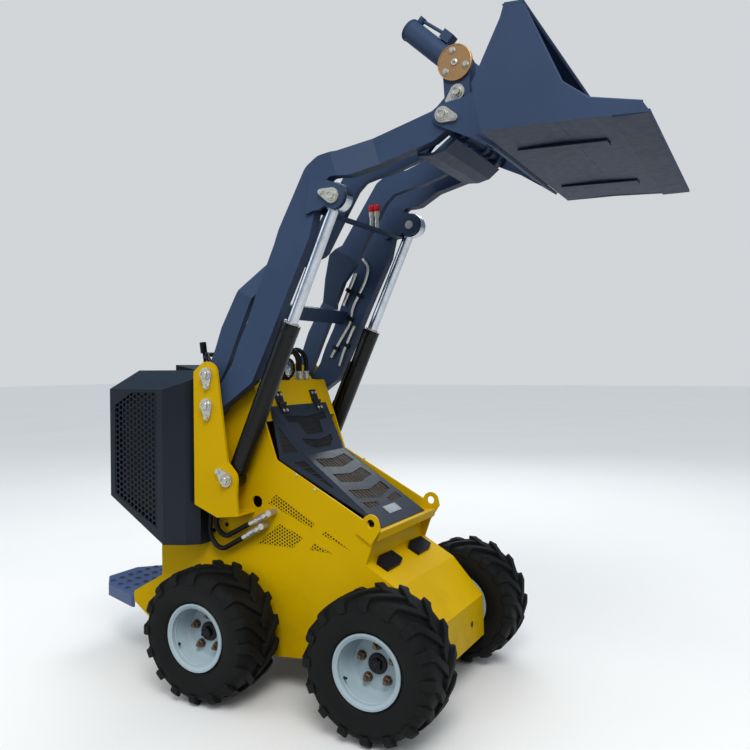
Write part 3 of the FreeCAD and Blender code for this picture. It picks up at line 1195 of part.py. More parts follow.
pair("tip_pins", keeper_pin("tip_pin", TIP, (38, -14), TIP_INNER, HITCH_SEAT))

# Bucket
bucket_outline = [(1029, 1765), (1203, 1764), (1462, 1751), (1445, 1778), (1315, 1807), (1246, 1859),
                  (1148, 2081, 8), (1140, 2092, 8), (1096, 2095), (1084, 2057), (1010, 1909, 10),
                  (1003, 1899)]
bucket_side = plate("bucket_side", bucket_outline, "Sizes.bucket_half - Sizes.bucket_sheet",
                    "Sizes.bucket_sheet")
bucket_shell = across("bucket_shell", strip([(1140, 2093), BACK_TOP, BACK_LOW, (1461, 1751)],
                                            size("bucket_sheet")), "Sizes.bucket_half - 1")
bucket_floor = across("bucket_floor", strip([(1029, 1765), BACK_LOW, (1230, 1764)],
                                            size("bucket_sheet")), "Sizes.bucket_half - 1")
node("bucket", fuse("bucket_body", [bucket_side, mirrored("bucket_side_left", bucket_side),
                                    bucket_shell, bucket_floor]))

# Build, check and write
doc.recompute()
faults = [f"{o.Name}: {o.State}" for o in doc.Objects if "Invalid" in o.State or "Error" in o.State]
for item in NODES:
    shape = item.Shape
    if shape.isNull() or not shape.isValid() or not shape.Solids or shape.Volume <= 0:
        faults.append(f"{item.Label}: bad shape")
if faults:
    raise RuntimeError("; ".join(faults))
os.makedirs("parts", exist_ok=True)
for item in NODES:
    item.Shape.exportStep(os.path.join("parts", f"{item.Label}.step"))
    bounds = item.Shape.BoundBox
    print(f"{item.Label}: {len(item.Shape.Solids)} solids, "
          f"x {bounds.XMin:.0f}..{bounds.XMax:.0f} y {bounds.YMin:.0f}..{bounds.YMax:.0f} "
          f"z {bounds.ZMin:.0f}..{bounds.ZMax:.0f}, {item.Shape.Volume / 1e6:.2f} l")
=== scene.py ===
"""Finishes and fine pieces of the stand-on compact loader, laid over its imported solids.

X forward, Y left, Z up, metres. Rows given in millimetres are measured from the rear axle,
as the part's own source has them, and `rear` turns them into this frame.
"""
import json
import logging
import math
from dataclasses import dataclass, field
from enum import Enum
from typing import Any, Dict, Iterable, List, Optional, Sequence, Tuple, Union

import bmesh
import bpy
from mathutils import Matrix, Vector

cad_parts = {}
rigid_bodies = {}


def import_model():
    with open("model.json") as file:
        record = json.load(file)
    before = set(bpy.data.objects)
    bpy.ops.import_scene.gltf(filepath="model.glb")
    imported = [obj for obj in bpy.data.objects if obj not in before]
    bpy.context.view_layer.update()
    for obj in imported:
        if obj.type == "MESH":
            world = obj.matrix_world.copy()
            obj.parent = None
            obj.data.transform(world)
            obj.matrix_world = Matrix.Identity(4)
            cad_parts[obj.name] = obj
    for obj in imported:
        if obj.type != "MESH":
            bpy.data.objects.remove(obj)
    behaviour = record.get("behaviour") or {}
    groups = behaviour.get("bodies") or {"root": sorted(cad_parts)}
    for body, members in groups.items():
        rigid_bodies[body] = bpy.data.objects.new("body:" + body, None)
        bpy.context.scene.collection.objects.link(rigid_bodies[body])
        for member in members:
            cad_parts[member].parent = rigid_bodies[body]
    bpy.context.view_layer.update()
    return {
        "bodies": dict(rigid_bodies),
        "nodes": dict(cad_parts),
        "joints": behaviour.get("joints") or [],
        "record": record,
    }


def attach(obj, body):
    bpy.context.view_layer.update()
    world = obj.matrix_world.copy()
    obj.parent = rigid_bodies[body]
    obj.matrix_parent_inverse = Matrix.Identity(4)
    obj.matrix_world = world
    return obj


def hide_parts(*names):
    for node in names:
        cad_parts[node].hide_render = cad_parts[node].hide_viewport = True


LOG = logging.getLogger("loader")
Mesh = bmesh.types.BMesh
Point = Tuple[float, float]
Profile = Tuple[Point, ...]
Colour = Tuple[float, float, float]
AXLE_SHIFT = 336.0
UP = Vector((0.0, 0.0, 1.0))
FRONT = Vector((1.0, 0.0, 0.0))
RIGHT = Vector((0.0, -1.0, 0.0))


def rear(x: float, y: float, z: float) -> Vector:
    """Point of this frame from millimetres measured from the rear axle."""
    return Vector(((x - AXLE_SHIFT) / 1000.0, y / 1000.0, z / 1000.0))


def srgb(red: int, green: int, blue: int) -> Colour:
    """Linear colour from the eight-bit values of a screen colour.

    Args:
        red: 0 to 255.
        green: 0 to 255.
        blue: 0 to 255.

    Returns:
        The three linear values.
    """
    def line(value: int) -> float:
        """Linear value of one channel."""
        share = value / 255.0
        return share / 12.92 if share <= 0.04045 else ((share + 0.055) / 1.055) ** 2.4
    return line(red), line(green), line(blue)


class Side(Enum):
    """Side of the machine."""

    RIGHT = -1.0
    LEFT = 1.0


# ---------------------------------------------------------------- shader building


class Wire:
    """One value in a node tree on which maths is written as plain expressions."""

    def __init__(self, tree: "Tree", node: bpy.types.Node, out: Union[int, str]) -> None:
        """Keep what carries the value.

        Args:
            tree: the tree that the node is in.
            node: the node.
            out: its output, unused where it has none.
        """
        self.tree = tree
        self.node = node
        self.socket = node.outputs[out] if len(node.outputs) else None

    def _maths(self, operation: str, first: Any, second: Any) -> "Wire":
        """Math node on two values."""
        return self.tree.add("ShaderNodeMath", {"operation": operation}, {0: first, 1: second})

    def __add__(self, other: Any) -> "Wire":
        """Sum."""
        return self._maths("ADD", self, other)

    def __radd__(self, other: Any) -> "Wire":
        """Sum with a plain number first."""
        return self._maths("ADD", other, self)

    def __mul__(self, other: Any) -> "Wire":
        """Product."""
        return self._maths("MULTIPLY", self, other)

    def __rmul__(self, other: Any) -> "Wire":
        """Product with a plain number first."""
        return self._maths("MULTIPLY", other, self)

    def band(self, low: float, high: float, start: float = 0.0, end: float = 1.0) -> "Wire":
        """Map the value from one range onto another, held at both ends.

        Args:
            low: value that gives start.
            high: value that gives end.
            start: result at and below low.
            end: result at and above high.

        Returns:
            The mapped value.
        """
        return self.tree.add("ShaderNodeMapRange", {"clamp": True},
                             {"Value": self, "From Min": low, "From Max": high,
                              "To Min": start, "To Max": end})


class Tree:
    """Emptied node tree whose nodes all come from one method."""

    def __init__(self, tree: bpy.types.NodeTree) -> None:
        """Empty the tree and keep its nodes and links.

        Args:
            tree: the tree of a material or a world.
        """
        self.nodes = tree.nodes
        self.links = tree.links
        self.nodes.clear()

    def add(self, kind: str, settings: Optional[Dict[str, Any]] = None,
            sockets: Optional[Dict[Union[int, str], Any]] = None, out: Union[int, str] = 0) -> Wire:
        """Add a node.

        Args:
            kind: Blender's node type.
            settings: attributes set before the sockets.
            sockets: values or wires by socket name or number.
            out: the output that is returned.

        Returns:
            The chosen output as a wire.
        """
        node = self.nodes.new(kind)
        for key, value in (settings or {}).items():
            setattr(node, key, value)
        for key, value in (sockets or {}).items():
            self.feed(node.inputs[key], value)
        return Wire(self, node, out)

    def feed(self, socket: Any, value: Any) -> None:
        """Link a wire to a socket or set its value.

        Args:
            socket: an input of a node.
            value: a wire, a number, a vector or a colour of three values.
        """
        if isinstance(value, Wire):
            self.links.new(value.socket, socket)
        elif isinstance(value, (tuple, list)) and len(value) == 3 and socket.type == "RGBA":
            socket.default_value = (*value, 1.0)
        else:
            socket.default_value = value


class Shader(Tree):
    """Node tree of one material with its Principled shader."""

    def __init__(self, name: str) -> None:
        """Make a material with the shader and its output.

        Args:
            name: name of the material.
        """
        self.material = bpy.data.materials.new(name)
        self.material.use_nodes = True
        super().__init__(self.material.node_tree)
        self.surface = self.add("ShaderNodeBsdfPrincipled")
        self.end = self.add("ShaderNodeOutputMaterial", None, {"Surface": self.surface})

    def place(self, scale: Sequence[float] = (1.0, 1.0, 1.0)) -> Wire:
        """Object coordinates, scaled."""
        raw = self.add("ShaderNodeTexCoord", out="Object")
        return self.add("ShaderNodeVectorMath", {"operation": "MULTIPLY"}, {0: raw, 1: tuple(scale)})

    def noise(self, where: Wire, scale: float, detail: float = 4.0, rough: float = 0.55) -> Wire:
        """Noise of about 0.2 to 0.8 on the coordinates; the scale is in grains a metre."""
        return self.add("ShaderNodeTexNoise", None,
                        {"Vector": where, "Scale": scale, "Detail": detail, "Roughness": rough})

    def blend(self, share: Any, first: Any, second: Any) -> Wire:
        """Mix of two colours, all second where the share is 1."""
        return self.add("ShaderNodeMix", {"data_type": "RGBA"}, {0: share, 6: first, 7: second}, out=2)

    def bump(self, height: Wire, strength: float, distance: float = 0.001) -> Wire:
        """Normal that follows a height."""
        return self.add("ShaderNodeBump", None,
                        {"Height": height, "Strength": strength, "Distance": distance})

    def set(self, **values: Any) -> None:
        """Set or link sockets of the Principled shader; underscores stand for spaces."""
        for key, value in values.items():
            self.feed(self.surface.node.inputs[key.replace("_", " ")], value)


@dataclass(frozen=True)
class Paint:
    """Sprayed enamel with a faint orange peel, dust low down and uneven gloss."""

    name: str
    colour: Colour
    deep: Colour
    gloss: float = 0.32
    coat: float = 0.35
    dust: Colour = srgb(150, 138, 118)
    dust_share: float = 0.35
    dust_top: float = 0.7
    metal: float = 0.0
    shine: float = 0.3

    def make(self) -> bpy.types.Material:
        """Build the material.

        Returns:
            The material.
        """
        tree = Shader(self.name)
        where = tree.place()
        broad = tree.noise(where, 2.6, 3.0).band(0.35, 0.7)
        fine = tree.noise(where, 42.0, 5.0).band(0.3, 0.7)
        height = tree.add("ShaderNodeSeparateXYZ", None, {0: where}, out="Z")
        dirt = tree.noise(where, 14.0, 8.0, 0.65).band(0.46, 0.72)
        low = height.band(0.0, self.dust_top, 1.0, 0.0)
        grime = dirt * low * self.dust_share
        tone = tree.blend(broad * 0.55, self.colour, self.deep)
        tree.set(Base_Color=tree.blend(grime, tone, self.dust),
                 Roughness=self.gloss + fine * 0.10 + grime * 0.45,
                 Metallic=self.metal, Coat_Weight=self.coat, Coat_Roughness=0.12,
                 Specular_IOR_Level=self.shine,
                 Normal=tree.bump(tree.noise(where, 520.0, 2.0), 0.12, 0.0006))
        return tree.material


@dataclass(frozen=True)
class Steel:
    """Plated or bare steel with fine drawn lines."""

    name: str
    colour: Colour
    dark: Colour
    gloss: float = 0.3
    metal: float = 1.0
    drawn: Tuple[float, float, float] = (1.0, 1.0, 1.0)
    stain: float = 0.35

    def make(self) -> bpy.types.Material:
        """Build the material.

        Returns:
            The material.
        """
        tree = Shader(self.name)
        where = tree.place()
        drawn = tree.noise(tree.place(self.drawn), 160.0, 6.0).band(0.3, 0.7)
        patch = tree.noise(where, 24.0, 6.0, 0.6).band(0.42, 0.75)
        tree.set(Base_Color=tree.blend(patch * self.stain, self.colour, self.dark),
                 Metallic=self.metal, Roughness=self.gloss + drawn * 0.14 + patch * 0.12,
                 Normal=tree.bump(drawn, 0.10, 0.0004))
        return tree.material


@dataclass(frozen=True)
class Rubber:
    """Black rubber, greyed where it is worn or dusty."""

    name: str
    colour: Colour = srgb(27, 28, 30)
    worn: Colour = srgb(62, 61, 58)
    gloss: float = 0.62
    grain: float = 190.0
    wear: float = 0.45
    rings: float = 0.0

    def make(self) -> bpy.types.Material:
        """Build the material.

        Returns:
            The material.
        """
        tree = Shader(self.name)
        where = tree.place()
        patch = tree.noise(where, 9.0, 8.0, 0.62).band(0.45, 0.75)
        grain = tree.noise(where, self.grain, 4.0)
        height: Wire = grain
        if self.rings > 0.0:
            weave = tree.add("ShaderNodeTexWave", {"wave_type": "BANDS", "bands_direction": "DIAGONAL"},
                             {"Vector": where, "Scale": self.rings, "Distortion": 0.4,
                              "Detail": 1.0}, out=1)
            height = grain * 0.3 + weave
        tree.set(Base_Color=tree.blend(patch * self.wear, self.colour, self.worn),
                 Roughness=self.gloss + patch * 0.18, Specular_IOR_Level=0.25,
                 Normal=tree.bump(height, 0.25, 0.0008))
        return tree.material


@dataclass(frozen=True)
class Plastic:
    """Moulded plastic with a fine grain."""

    name: str
    colour: Colour
    deep: Colour
    gloss: float = 0.42

    def make(self) -> bpy.types.Material:
        """Build the material.

        Returns:
            The material.
        """
        tree = Shader(self.name)
        where = tree.place()
        patch = tree.noise(where, 30.0, 4.0).band(0.35, 0.7)
        tree.set(Base_Color=tree.blend(patch * 0.6, self.colour, self.deep),
                 Roughness=self.gloss + patch * 0.1, Specular_IOR_Level=0.25,
                 Normal=tree.bump(tree.noise(where, 700.0, 2.0), 0.15, 0.0004))
        return tree.material


@dataclass(frozen=True)
class Lens:
    """Bright reflector behind a clear ribbed lens."""

    name: str

    def make(self) -> bpy.types.Material:
        """Build the material.

        Returns:
            The material.
        """
        tree = Shader(self.name)
        where = tree.place()
        cells = tree.add("ShaderNodeTexVoronoi", None, {"Vector": where, "Scale": 95.0}, out="Distance")
        spark = cells.band(0.1, 0.7)
        tree.set(Base_Color=tree.blend(spark, srgb(236, 240, 244), srgb(120, 126, 134)),
                 Metallic=0.85, Roughness=0.08 + spark * 0.2, Coat_Weight=1.0,
                 Normal=tree.bump(cells, 0.6, 0.002))
        return tree.material


@dataclass
class Finishes:
    """Every finish of the machine, made once."""

    made: Dict[str, bpy.types.Material] = field(default_factory=dict)

    def stock(self) -> None:
        """Make all of them."""
        rows = (
            Paint("yellow_paint", srgb(212, 172, 0), srgb(196, 154, 0), 0.38, 0.03, srgb(128, 106, 40),
                  dust_share=0.35, dust_top=0.5, shine=0.06),
            Paint("dark_paint", srgb(56, 73, 101), srgb(45, 59, 84), 0.42, 0.0, srgb(84, 92, 104), 0.12,
                  shine=0.12),
            Paint("box_paint", srgb(24, 32, 42), srgb(16, 23, 31), 0.3, 0.12, srgb(62, 66, 70), 0.12,
                  shine=0.2),
            Paint("hood_paint", srgb(42, 49, 60), srgb(29, 35, 45), 0.38, 0.08, srgb(86, 88, 90), 0.15,
                  shine=0.2),
            Paint("black_paint", srgb(8, 8, 9), srgb(4, 4, 5), 0.3, 0.1, srgb(36, 34, 32), 0.12, shine=0.2),
            Paint("worn_paint", srgb(42, 56, 82), srgb(60, 68, 82), 0.42, 0.0, srgb(84, 84, 84), 0.25,
                  metal=0.1, shine=0.1),
            Paint("step_paint", srgb(60, 84, 134), srgb(42, 60, 98), 0.42, 0.1, srgb(94, 98, 102), 0.3),
            Paint("rim_paint", srgb(174, 192, 200), srgb(150, 170, 179), 0.34, 0.2,
                  srgb(140, 134, 122), 0.35, 0.5, shine=0.4),
            Rubber("tyre_rubber", srgb(9, 10, 9), srgb(34, 33, 30), 0.7, 160.0, 0.4),
            Rubber("hose_rubber", srgb(12, 12, 13), srgb(34, 34, 35), 0.5, 300.0, 0.3, 60.0),
            Steel("bare_steel", srgb(206, 204, 194), srgb(140, 134, 114), 0.34, 0.85),
            Steel("chrome_rod", srgb(190, 196, 204), srgb(128, 128, 130), 0.12, 1.0, (8.0, 8.0, 1.0), 0.4),
            Steel("copper_cap", srgb(186, 146, 100), srgb(130, 92, 58), 0.34, 0.8),
            Steel("rust_nut", srgb(122, 100, 80), srgb(62, 46, 34), 0.45, 0.75),
            Steel("engine_metal", srgb(40, 40, 42), srgb(22, 21, 20), 0.55, 0.4),
            Steel("steel_mesh", srgb(40, 37, 34), srgb(18, 17, 16), 0.5, 0.5),
            Steel("slat_steel", srgb(98, 88, 76), srgb(44, 38, 32), 0.42, 0.7),
            Steel("plate_silver", srgb(196, 198, 200), srgb(150, 152, 156), 0.38, 0.8),
            Plastic("black_plastic", srgb(14, 14, 15), srgb(26, 26, 28)),
            Plastic("red_plastic", srgb(196, 14, 30), srgb(150, 8, 20), 0.36),
            Lens("lamp_reflector"),
        )
        for row in rows:
            self.made[row.name] = row.make()

    def __getitem__(self, name: str) -> bpy.types.Material:
        """Finish by name."""
        return self.made[name]


# ---------------------------------------------------------------- mesh building


def aimed(place: Vector, way: Vector) -> Matrix:
    """Matrix that puts a shape at a place with its Z along a direction."""
    return Matrix.Translation(place) @ way.to_track_quat("Z", "Y").to_matrix().to_4x4()


@dataclass
class Bench:
    """Where new meshes are made; keeps the finishes."""

    finishes: Finishes

    def bar(self, mesh: Mesh, start: Vector, end: Vector, radius: float,
            sides: int = 24, tip: Optional[float] = None) -> None:
        """Add a closed round bar or cone between two points.

        Args:
            mesh: mesh that receives it.
            start: middle of its foot.
            end: middle of its far end.
            radius: radius of the foot.
            sides: facets around.
            tip: radius of the far end, the foot's where it isn't given.
        """
        way = end - start
        bmesh.ops.create_cone(mesh, cap_ends=True, segments=sides, radius1=radius,
                              radius2=radius if tip is None else tip, depth=way.length,
                              matrix=aimed((start + end) / 2, way))

    def hexagon(self, mesh: Mesh, place: Vector, way: Vector, radius: float,
                height: float) -> None:
        """Add a six-sided bolt head or nut with a chamfered top.

        Args:
            mesh: mesh that receives it.
            place: middle of its foot.
            way: direction in which it stands.
            radius: distance from the middle to a corner.
            height: how far it stands up.
        """
        way = way.normalized()
        self.bar(mesh, place, place + way * height * 0.8, radius, 6)
        self.bar(mesh, place + way * height * 0.79, place + way * height, radius * 0.97, 6, radius * 0.8)

    def washer(self, mesh: Mesh, place: Vector, way: Vector, radius: float,
               height: float) -> None:
        """Add a flat washer with a soft edge.

        Args:
            mesh: mesh that receives it.
            place: middle of its foot.
            way: direction of its axis.
            radius: outer radius.
            height: thickness.
        """
        way = way.normalized()
        self.bar(mesh, place, place + way * height * 0.6, radius, 28)
        self.bar(mesh, place + way * height * 0.59, place + way * height, radius, 28, radius * 0.94)

    def turned(self, mesh: Mesh, place: Vector, way: Vector, profile: Sequence[Point],
               steps: int = 48) -> None:
        """Spin a closed or open profile of (radius, along) rows about an axis.

        Args:
            mesh: mesh that receives the shape.
            place: origin of the axis.
            way: direction of the axis.
            profile: rows of radius and distance along the axis.
            steps: facets around.
        """
        frame = aimed(place, way)
        corners = [mesh.verts.new(frame @ Vector((radius, 0.0, along))) for radius, along in profile]
        edges = [mesh.edges.new((a, b)) for a, b in zip(corners, corners[1:])]
        bmesh.ops.spin(mesh, geom=corners + edges, cent=place, axis=way.normalized(),
                       angle=2 * math.pi, steps=steps, use_merge=True)
        bmesh.ops.remove_doubles(mesh, verts=mesh.verts, dist=1e-6)

    def slab(self, mesh: Mesh, outline: Sequence[Vector], thick: Vector) -> None:
        """Add a flat plate.

        Args:
            mesh: mesh that receives it.
            outline: corners of one face in order.
            thick: vector from that face to the other.
        """
        face = mesh.faces.new([mesh.verts.new(point) for point in outline])
        made = bmesh.ops.extrude_face_region(mesh, geom=[face])
        bmesh.ops.translate(mesh, vec=thick,
                            verts=[v for v in made["geom"] if isinstance(v, bmesh.types.BMVert)])

    def loft(self, mesh: Mesh, rings: Sequence[Sequence[Vector]]) -> None:
        """Extrude a face through rings of points, ring by ring.

        Args:
            mesh: mesh that receives the shape.
            rings: rings with the same number of points.
        """
        face = mesh.faces.new([mesh.verts.new(point) for point in rings[0]])
        top = face
        for ring in rings[1:]:
            made = bmesh.ops.extrude_discrete_faces(mesh, faces=[top])["faces"][0]
            for vert, point in zip(made.verts, ring):
                vert.co = point
            top = made
        mesh.faces.new([mesh.verts.new(point) for point in reversed(rings[0])])

    def hive(self, mesh: Mesh, origin: Vector, across: Vector, up: Vector,
             outline: Sequence[Point], pitch: float, web: float, thick: float) -> None:
        """Add a sheet of six-sided holes, cut to a convex outline.

        Args:
            mesh: mesh that receives the sheet.
            origin: where the outline's zero lies.
            across: unit vector of the outline's first value.
            up: unit vector of its second value.
            outline: convex corners in metres.
            pitch: distance between the middles of neighbouring holes.
            web: metal left between two holes.
            thick: thickness of the sheet, away from across x up.
        """
        sheet = bmesh.new()
        lows = [min(p[i] for p in outline) for i in (0, 1)]
        highs = [max(p[i] for p in outline) for i in (0, 1)]
        column = pitch * math.sqrt(3) / 2
        turn = Matrix((up, across, up.cross(across))).transposed().to_4x4()
        for i in range(int((highs[0] - lows[0]) / column) + 3):
            for j in range(int((highs[1] - lows[1]) / pitch) + 3):
                x = lows[0] + (i - 0.5) * column
                y = lows[1] + (j - 0.5 + 0.5 * (i % 2)) * pitch
                bmesh.ops.create_circle(sheet, cap_ends=True, segments=6, radius=pitch / math.sqrt(3),
                                        matrix=Matrix.Translation(origin + across * x + up * y) @ turn)
        bmesh.ops.remove_doubles(sheet, verts=sheet.verts, dist=pitch * 0.01)
        cells = list(sheet.faces)
        bmesh.ops.inset_individual(sheet, faces=cells, thickness=web / 2, use_even_offset=True)
        bmesh.ops.delete(sheet, geom=cells, context="FACES_ONLY")
        middle = (sum(p[0] for p in outline) / len(outline), sum(p[1] for p in outline) / len(outline))
        for first, second in zip(outline, list(outline[1:]) + [outline[0]]):
            start = origin + across * first[0] + up * first[1]
            edge = across * (second[0] - first[0]) + up * (second[1] - first[1])
            normal = edge.cross(across.cross(up)).normalized()
            centre = origin + across * middle[0] + up * middle[1]
            if (centre - start).dot(normal) > 0:
                normal = -normal
            bmesh.ops.bisect_plane(sheet, geom=list(sheet.verts) + list(sheet.edges) + list(sheet.faces),
                                   plane_co=start, plane_no=normal, clear_outer=True)
        made = bmesh.ops.extrude_face_region(sheet, geom=list(sheet.faces))
        bmesh.ops.translate(sheet, vec=across.cross(up).normalized() * -thick,
                            verts=[v for v in made["geom"] if isinstance(v, bmesh.types.BMVert)])
        copy = bpy.data.meshes.new("hive_copy")
        sheet.to_mesh(copy)
        sheet.free()
        mesh.from_mesh(copy)
        bpy.data.meshes.remove(copy)

    def twin(self, mesh: Mesh) -> None:
        """Add the mirror image on the other side of the middle plane.

        Args:
            mesh: mesh that is doubled.
        """
        made = bmesh.ops.duplicate(mesh, geom=list(mesh.verts) + list(mesh.edges) + list(mesh.faces))
        verts = [v for v in made["geom"] if isinstance(v, bmesh.types.BMVert)]
        faces = [f for f in made["geom"] if isinstance(f, bmesh.types.BMFace)]
        bmesh.ops.scale(mesh, vec=(1.0, -1.0, 1.0), verts=verts)
        bmesh.ops.reverse_faces(mesh, faces=faces)

    def keep(self, name: str, mesh: Mesh, finish: str, body: str, slot: str, smooth: float = 40.0,
             bevel: float = 0.0, both: bool = False, replaces: Sequence[str] = ()) -> bpy.types.Object:
        """Turn a mesh into a piece that rides on a body.

        Args:
            name: name of the piece.
            mesh: the finished mesh, freed here.
            finish: its material.
            body: the body that carries it.
            slot: material slot of the record; not used.
            smooth: angle in degrees under which edges are shaded smooth.
            bevel: width of a live bevel, none at zero.
            both: add the mirror image on the other side of the machine.
            replaces: solids that the piece stands for.

        Returns:
            The new object.
        """
        if both:
            self.twin(mesh)
        bmesh.ops.remove_doubles(mesh, verts=mesh.verts, dist=1e-6)
        bmesh.ops.recalc_face_normals(mesh, faces=mesh.faces)
        limit = math.radians(smooth)
        for face in mesh.faces:
            face.smooth = True
        for edge in mesh.edges:
            edge.smooth = len(edge.link_faces) == 2 and edge.calc_face_angle(0.0) < limit
        data = bpy.data.meshes.new(name)
        mesh.to_mesh(data)
        mesh.free()
        data.materials.append(self.finishes[finish])
        piece = bpy.data.objects.new(name, data)
        bpy.context.scene.collection.objects.link(piece)
        if bevel > 0.0:
            rounding = piece.modifiers.new("rounding", "BEVEL")
            rounding.width = bevel
            rounding.segments = 2
            rounding.limit_method = "ANGLE"
            rounding.angle_limit = math.radians(35.0)
            rounding.harden_normals = False
        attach(piece, body)
        if replaces:
            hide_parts(*replaces)
        LOG.info("%s: %d faces on %s", name, len(data.polygons), body)
        return piece


# ---------------------------------------------------------------- sub-assemblies


@dataclass
class Tyre:
    """Lugged tyre on its axle: smooth carcass, sidewall ribs and dog-leg lugs."""

    bench: Bench
    tag: str
    axle_x: float
    side: Side
    axle_z: float = 0.2285
    middle: float = 0.373
    half: float = 0.105
    tip: float = 0.2285
    tread: float = 0.2145
    lugs: int = 16
    lug_half: float = 0.018
    SECTION: Profile = (
        (0.1034, 0.080), (0.109, 0.0838), (0.1172, 0.0856), (0.1215, 0.0892), (0.124, 0.0930),
        (0.130, 0.0958), (0.142, 0.1003), (0.156, 0.1040), (0.168, 0.1047), (0.180, 0.1036),
        (0.1885, 0.1015), (0.1900, 0.1030), (0.1935, 0.1024), (0.1950, 0.0998),
        (0.2030, 0.0935), (0.2090, 0.0850), (0.2130, 0.0740), (0.2144, 0.0600))

    def spot(self, radius: float, out: float, angle: float) -> Vector:
        """Point by radius, distance from the middle of the tread and angle."""
        y = self.side.value * (self.middle + out)
        return Vector((self.axle_x + radius * math.cos(angle), y, self.axle_z + radius * math.sin(angle)))

    def carcass(self, mesh: Mesh) -> None:
        """Spin the section of the casing.

        Args:
            mesh: mesh that receives it.
        """
        outer = self.SECTION + ((self.tread + 0.0004, 0.0),)
        section = outer + tuple((r, -s) for r, s in reversed(self.SECTION)) + outer[:1]
        origin = Vector((self.axle_x, self.side.value * self.middle, self.axle_z))
        self.bench.turned(mesh, origin, Vector((0.0, self.side.value, 0.0)), section, 120)

    def lug(self, mesh: Mesh, turn: float, out_sign: float) -> None:
        """Add one lug that leads forward to the middle of the tread.

        Args:
            mesh: mesh that receives it.
            turn: angle of its outer end.
            out_sign: 1 for the outer row of lugs, -1 for the inner one.
        """
        rows = ((self.half + 0.0025, 0.0, self.tip - 0.0245), (self.half - 0.004, 0.0, self.tip - 0.0135),
                (self.half - 0.014, 0.0, self.tip - 0.0062), (self.half - 0.024, 0.001, self.tip - 0.0032),
                (0.064, 0.012, self.tip - 0.0016), (0.042, 0.036, self.tip - 0.0006),
                (0.018, 0.058, self.tip - 0.0002), (-0.005, 0.080, self.tip - 0.0002))
        rings = []
        for out, ahead, top in rows:
            floor = min(top - 0.014, self.tread) - 0.006
            low = turn - (ahead - self.lug_half) / self.tip
            high = turn - (ahead + self.lug_half) / self.tip
            pinch = 0.0022 / self.tip
            rings.append([self.spot(floor, out_sign * out, low), self.spot(top, out_sign * out, low - pinch),
                          self.spot(top, out_sign * out, high + pinch),
                          self.spot(floor, out_sign * out, high)])
        self.bench.loft(mesh, rings)

    def build(self) -> None:
        """Make the tyre in place of its plain solid."""
        mesh = bmesh.new()
        self.carcass(mesh)
        self.bench.keep(f"tyre_casing_{self.tag}", mesh, "tyre_rubber", f"wheel_{self.tag}", "tyre_rubber",
                        50.0, replaces=(f"tyre_{self.tag}",))
        tread = bmesh.new()
        for i in range(self.lugs):
            turn = 2 * math.pi * i / self.lugs
            self.lug(tread, turn, 1.0)
            self.lug(tread, turn + math.pi / self.lugs, -1.0)
        self.bench.keep(f"tyre_lugs_{self.tag}", tread, "tyre_rubber", f"wheel_{self.tag}", "tyre_rubber",
                        32.0, bevel=0.0022)


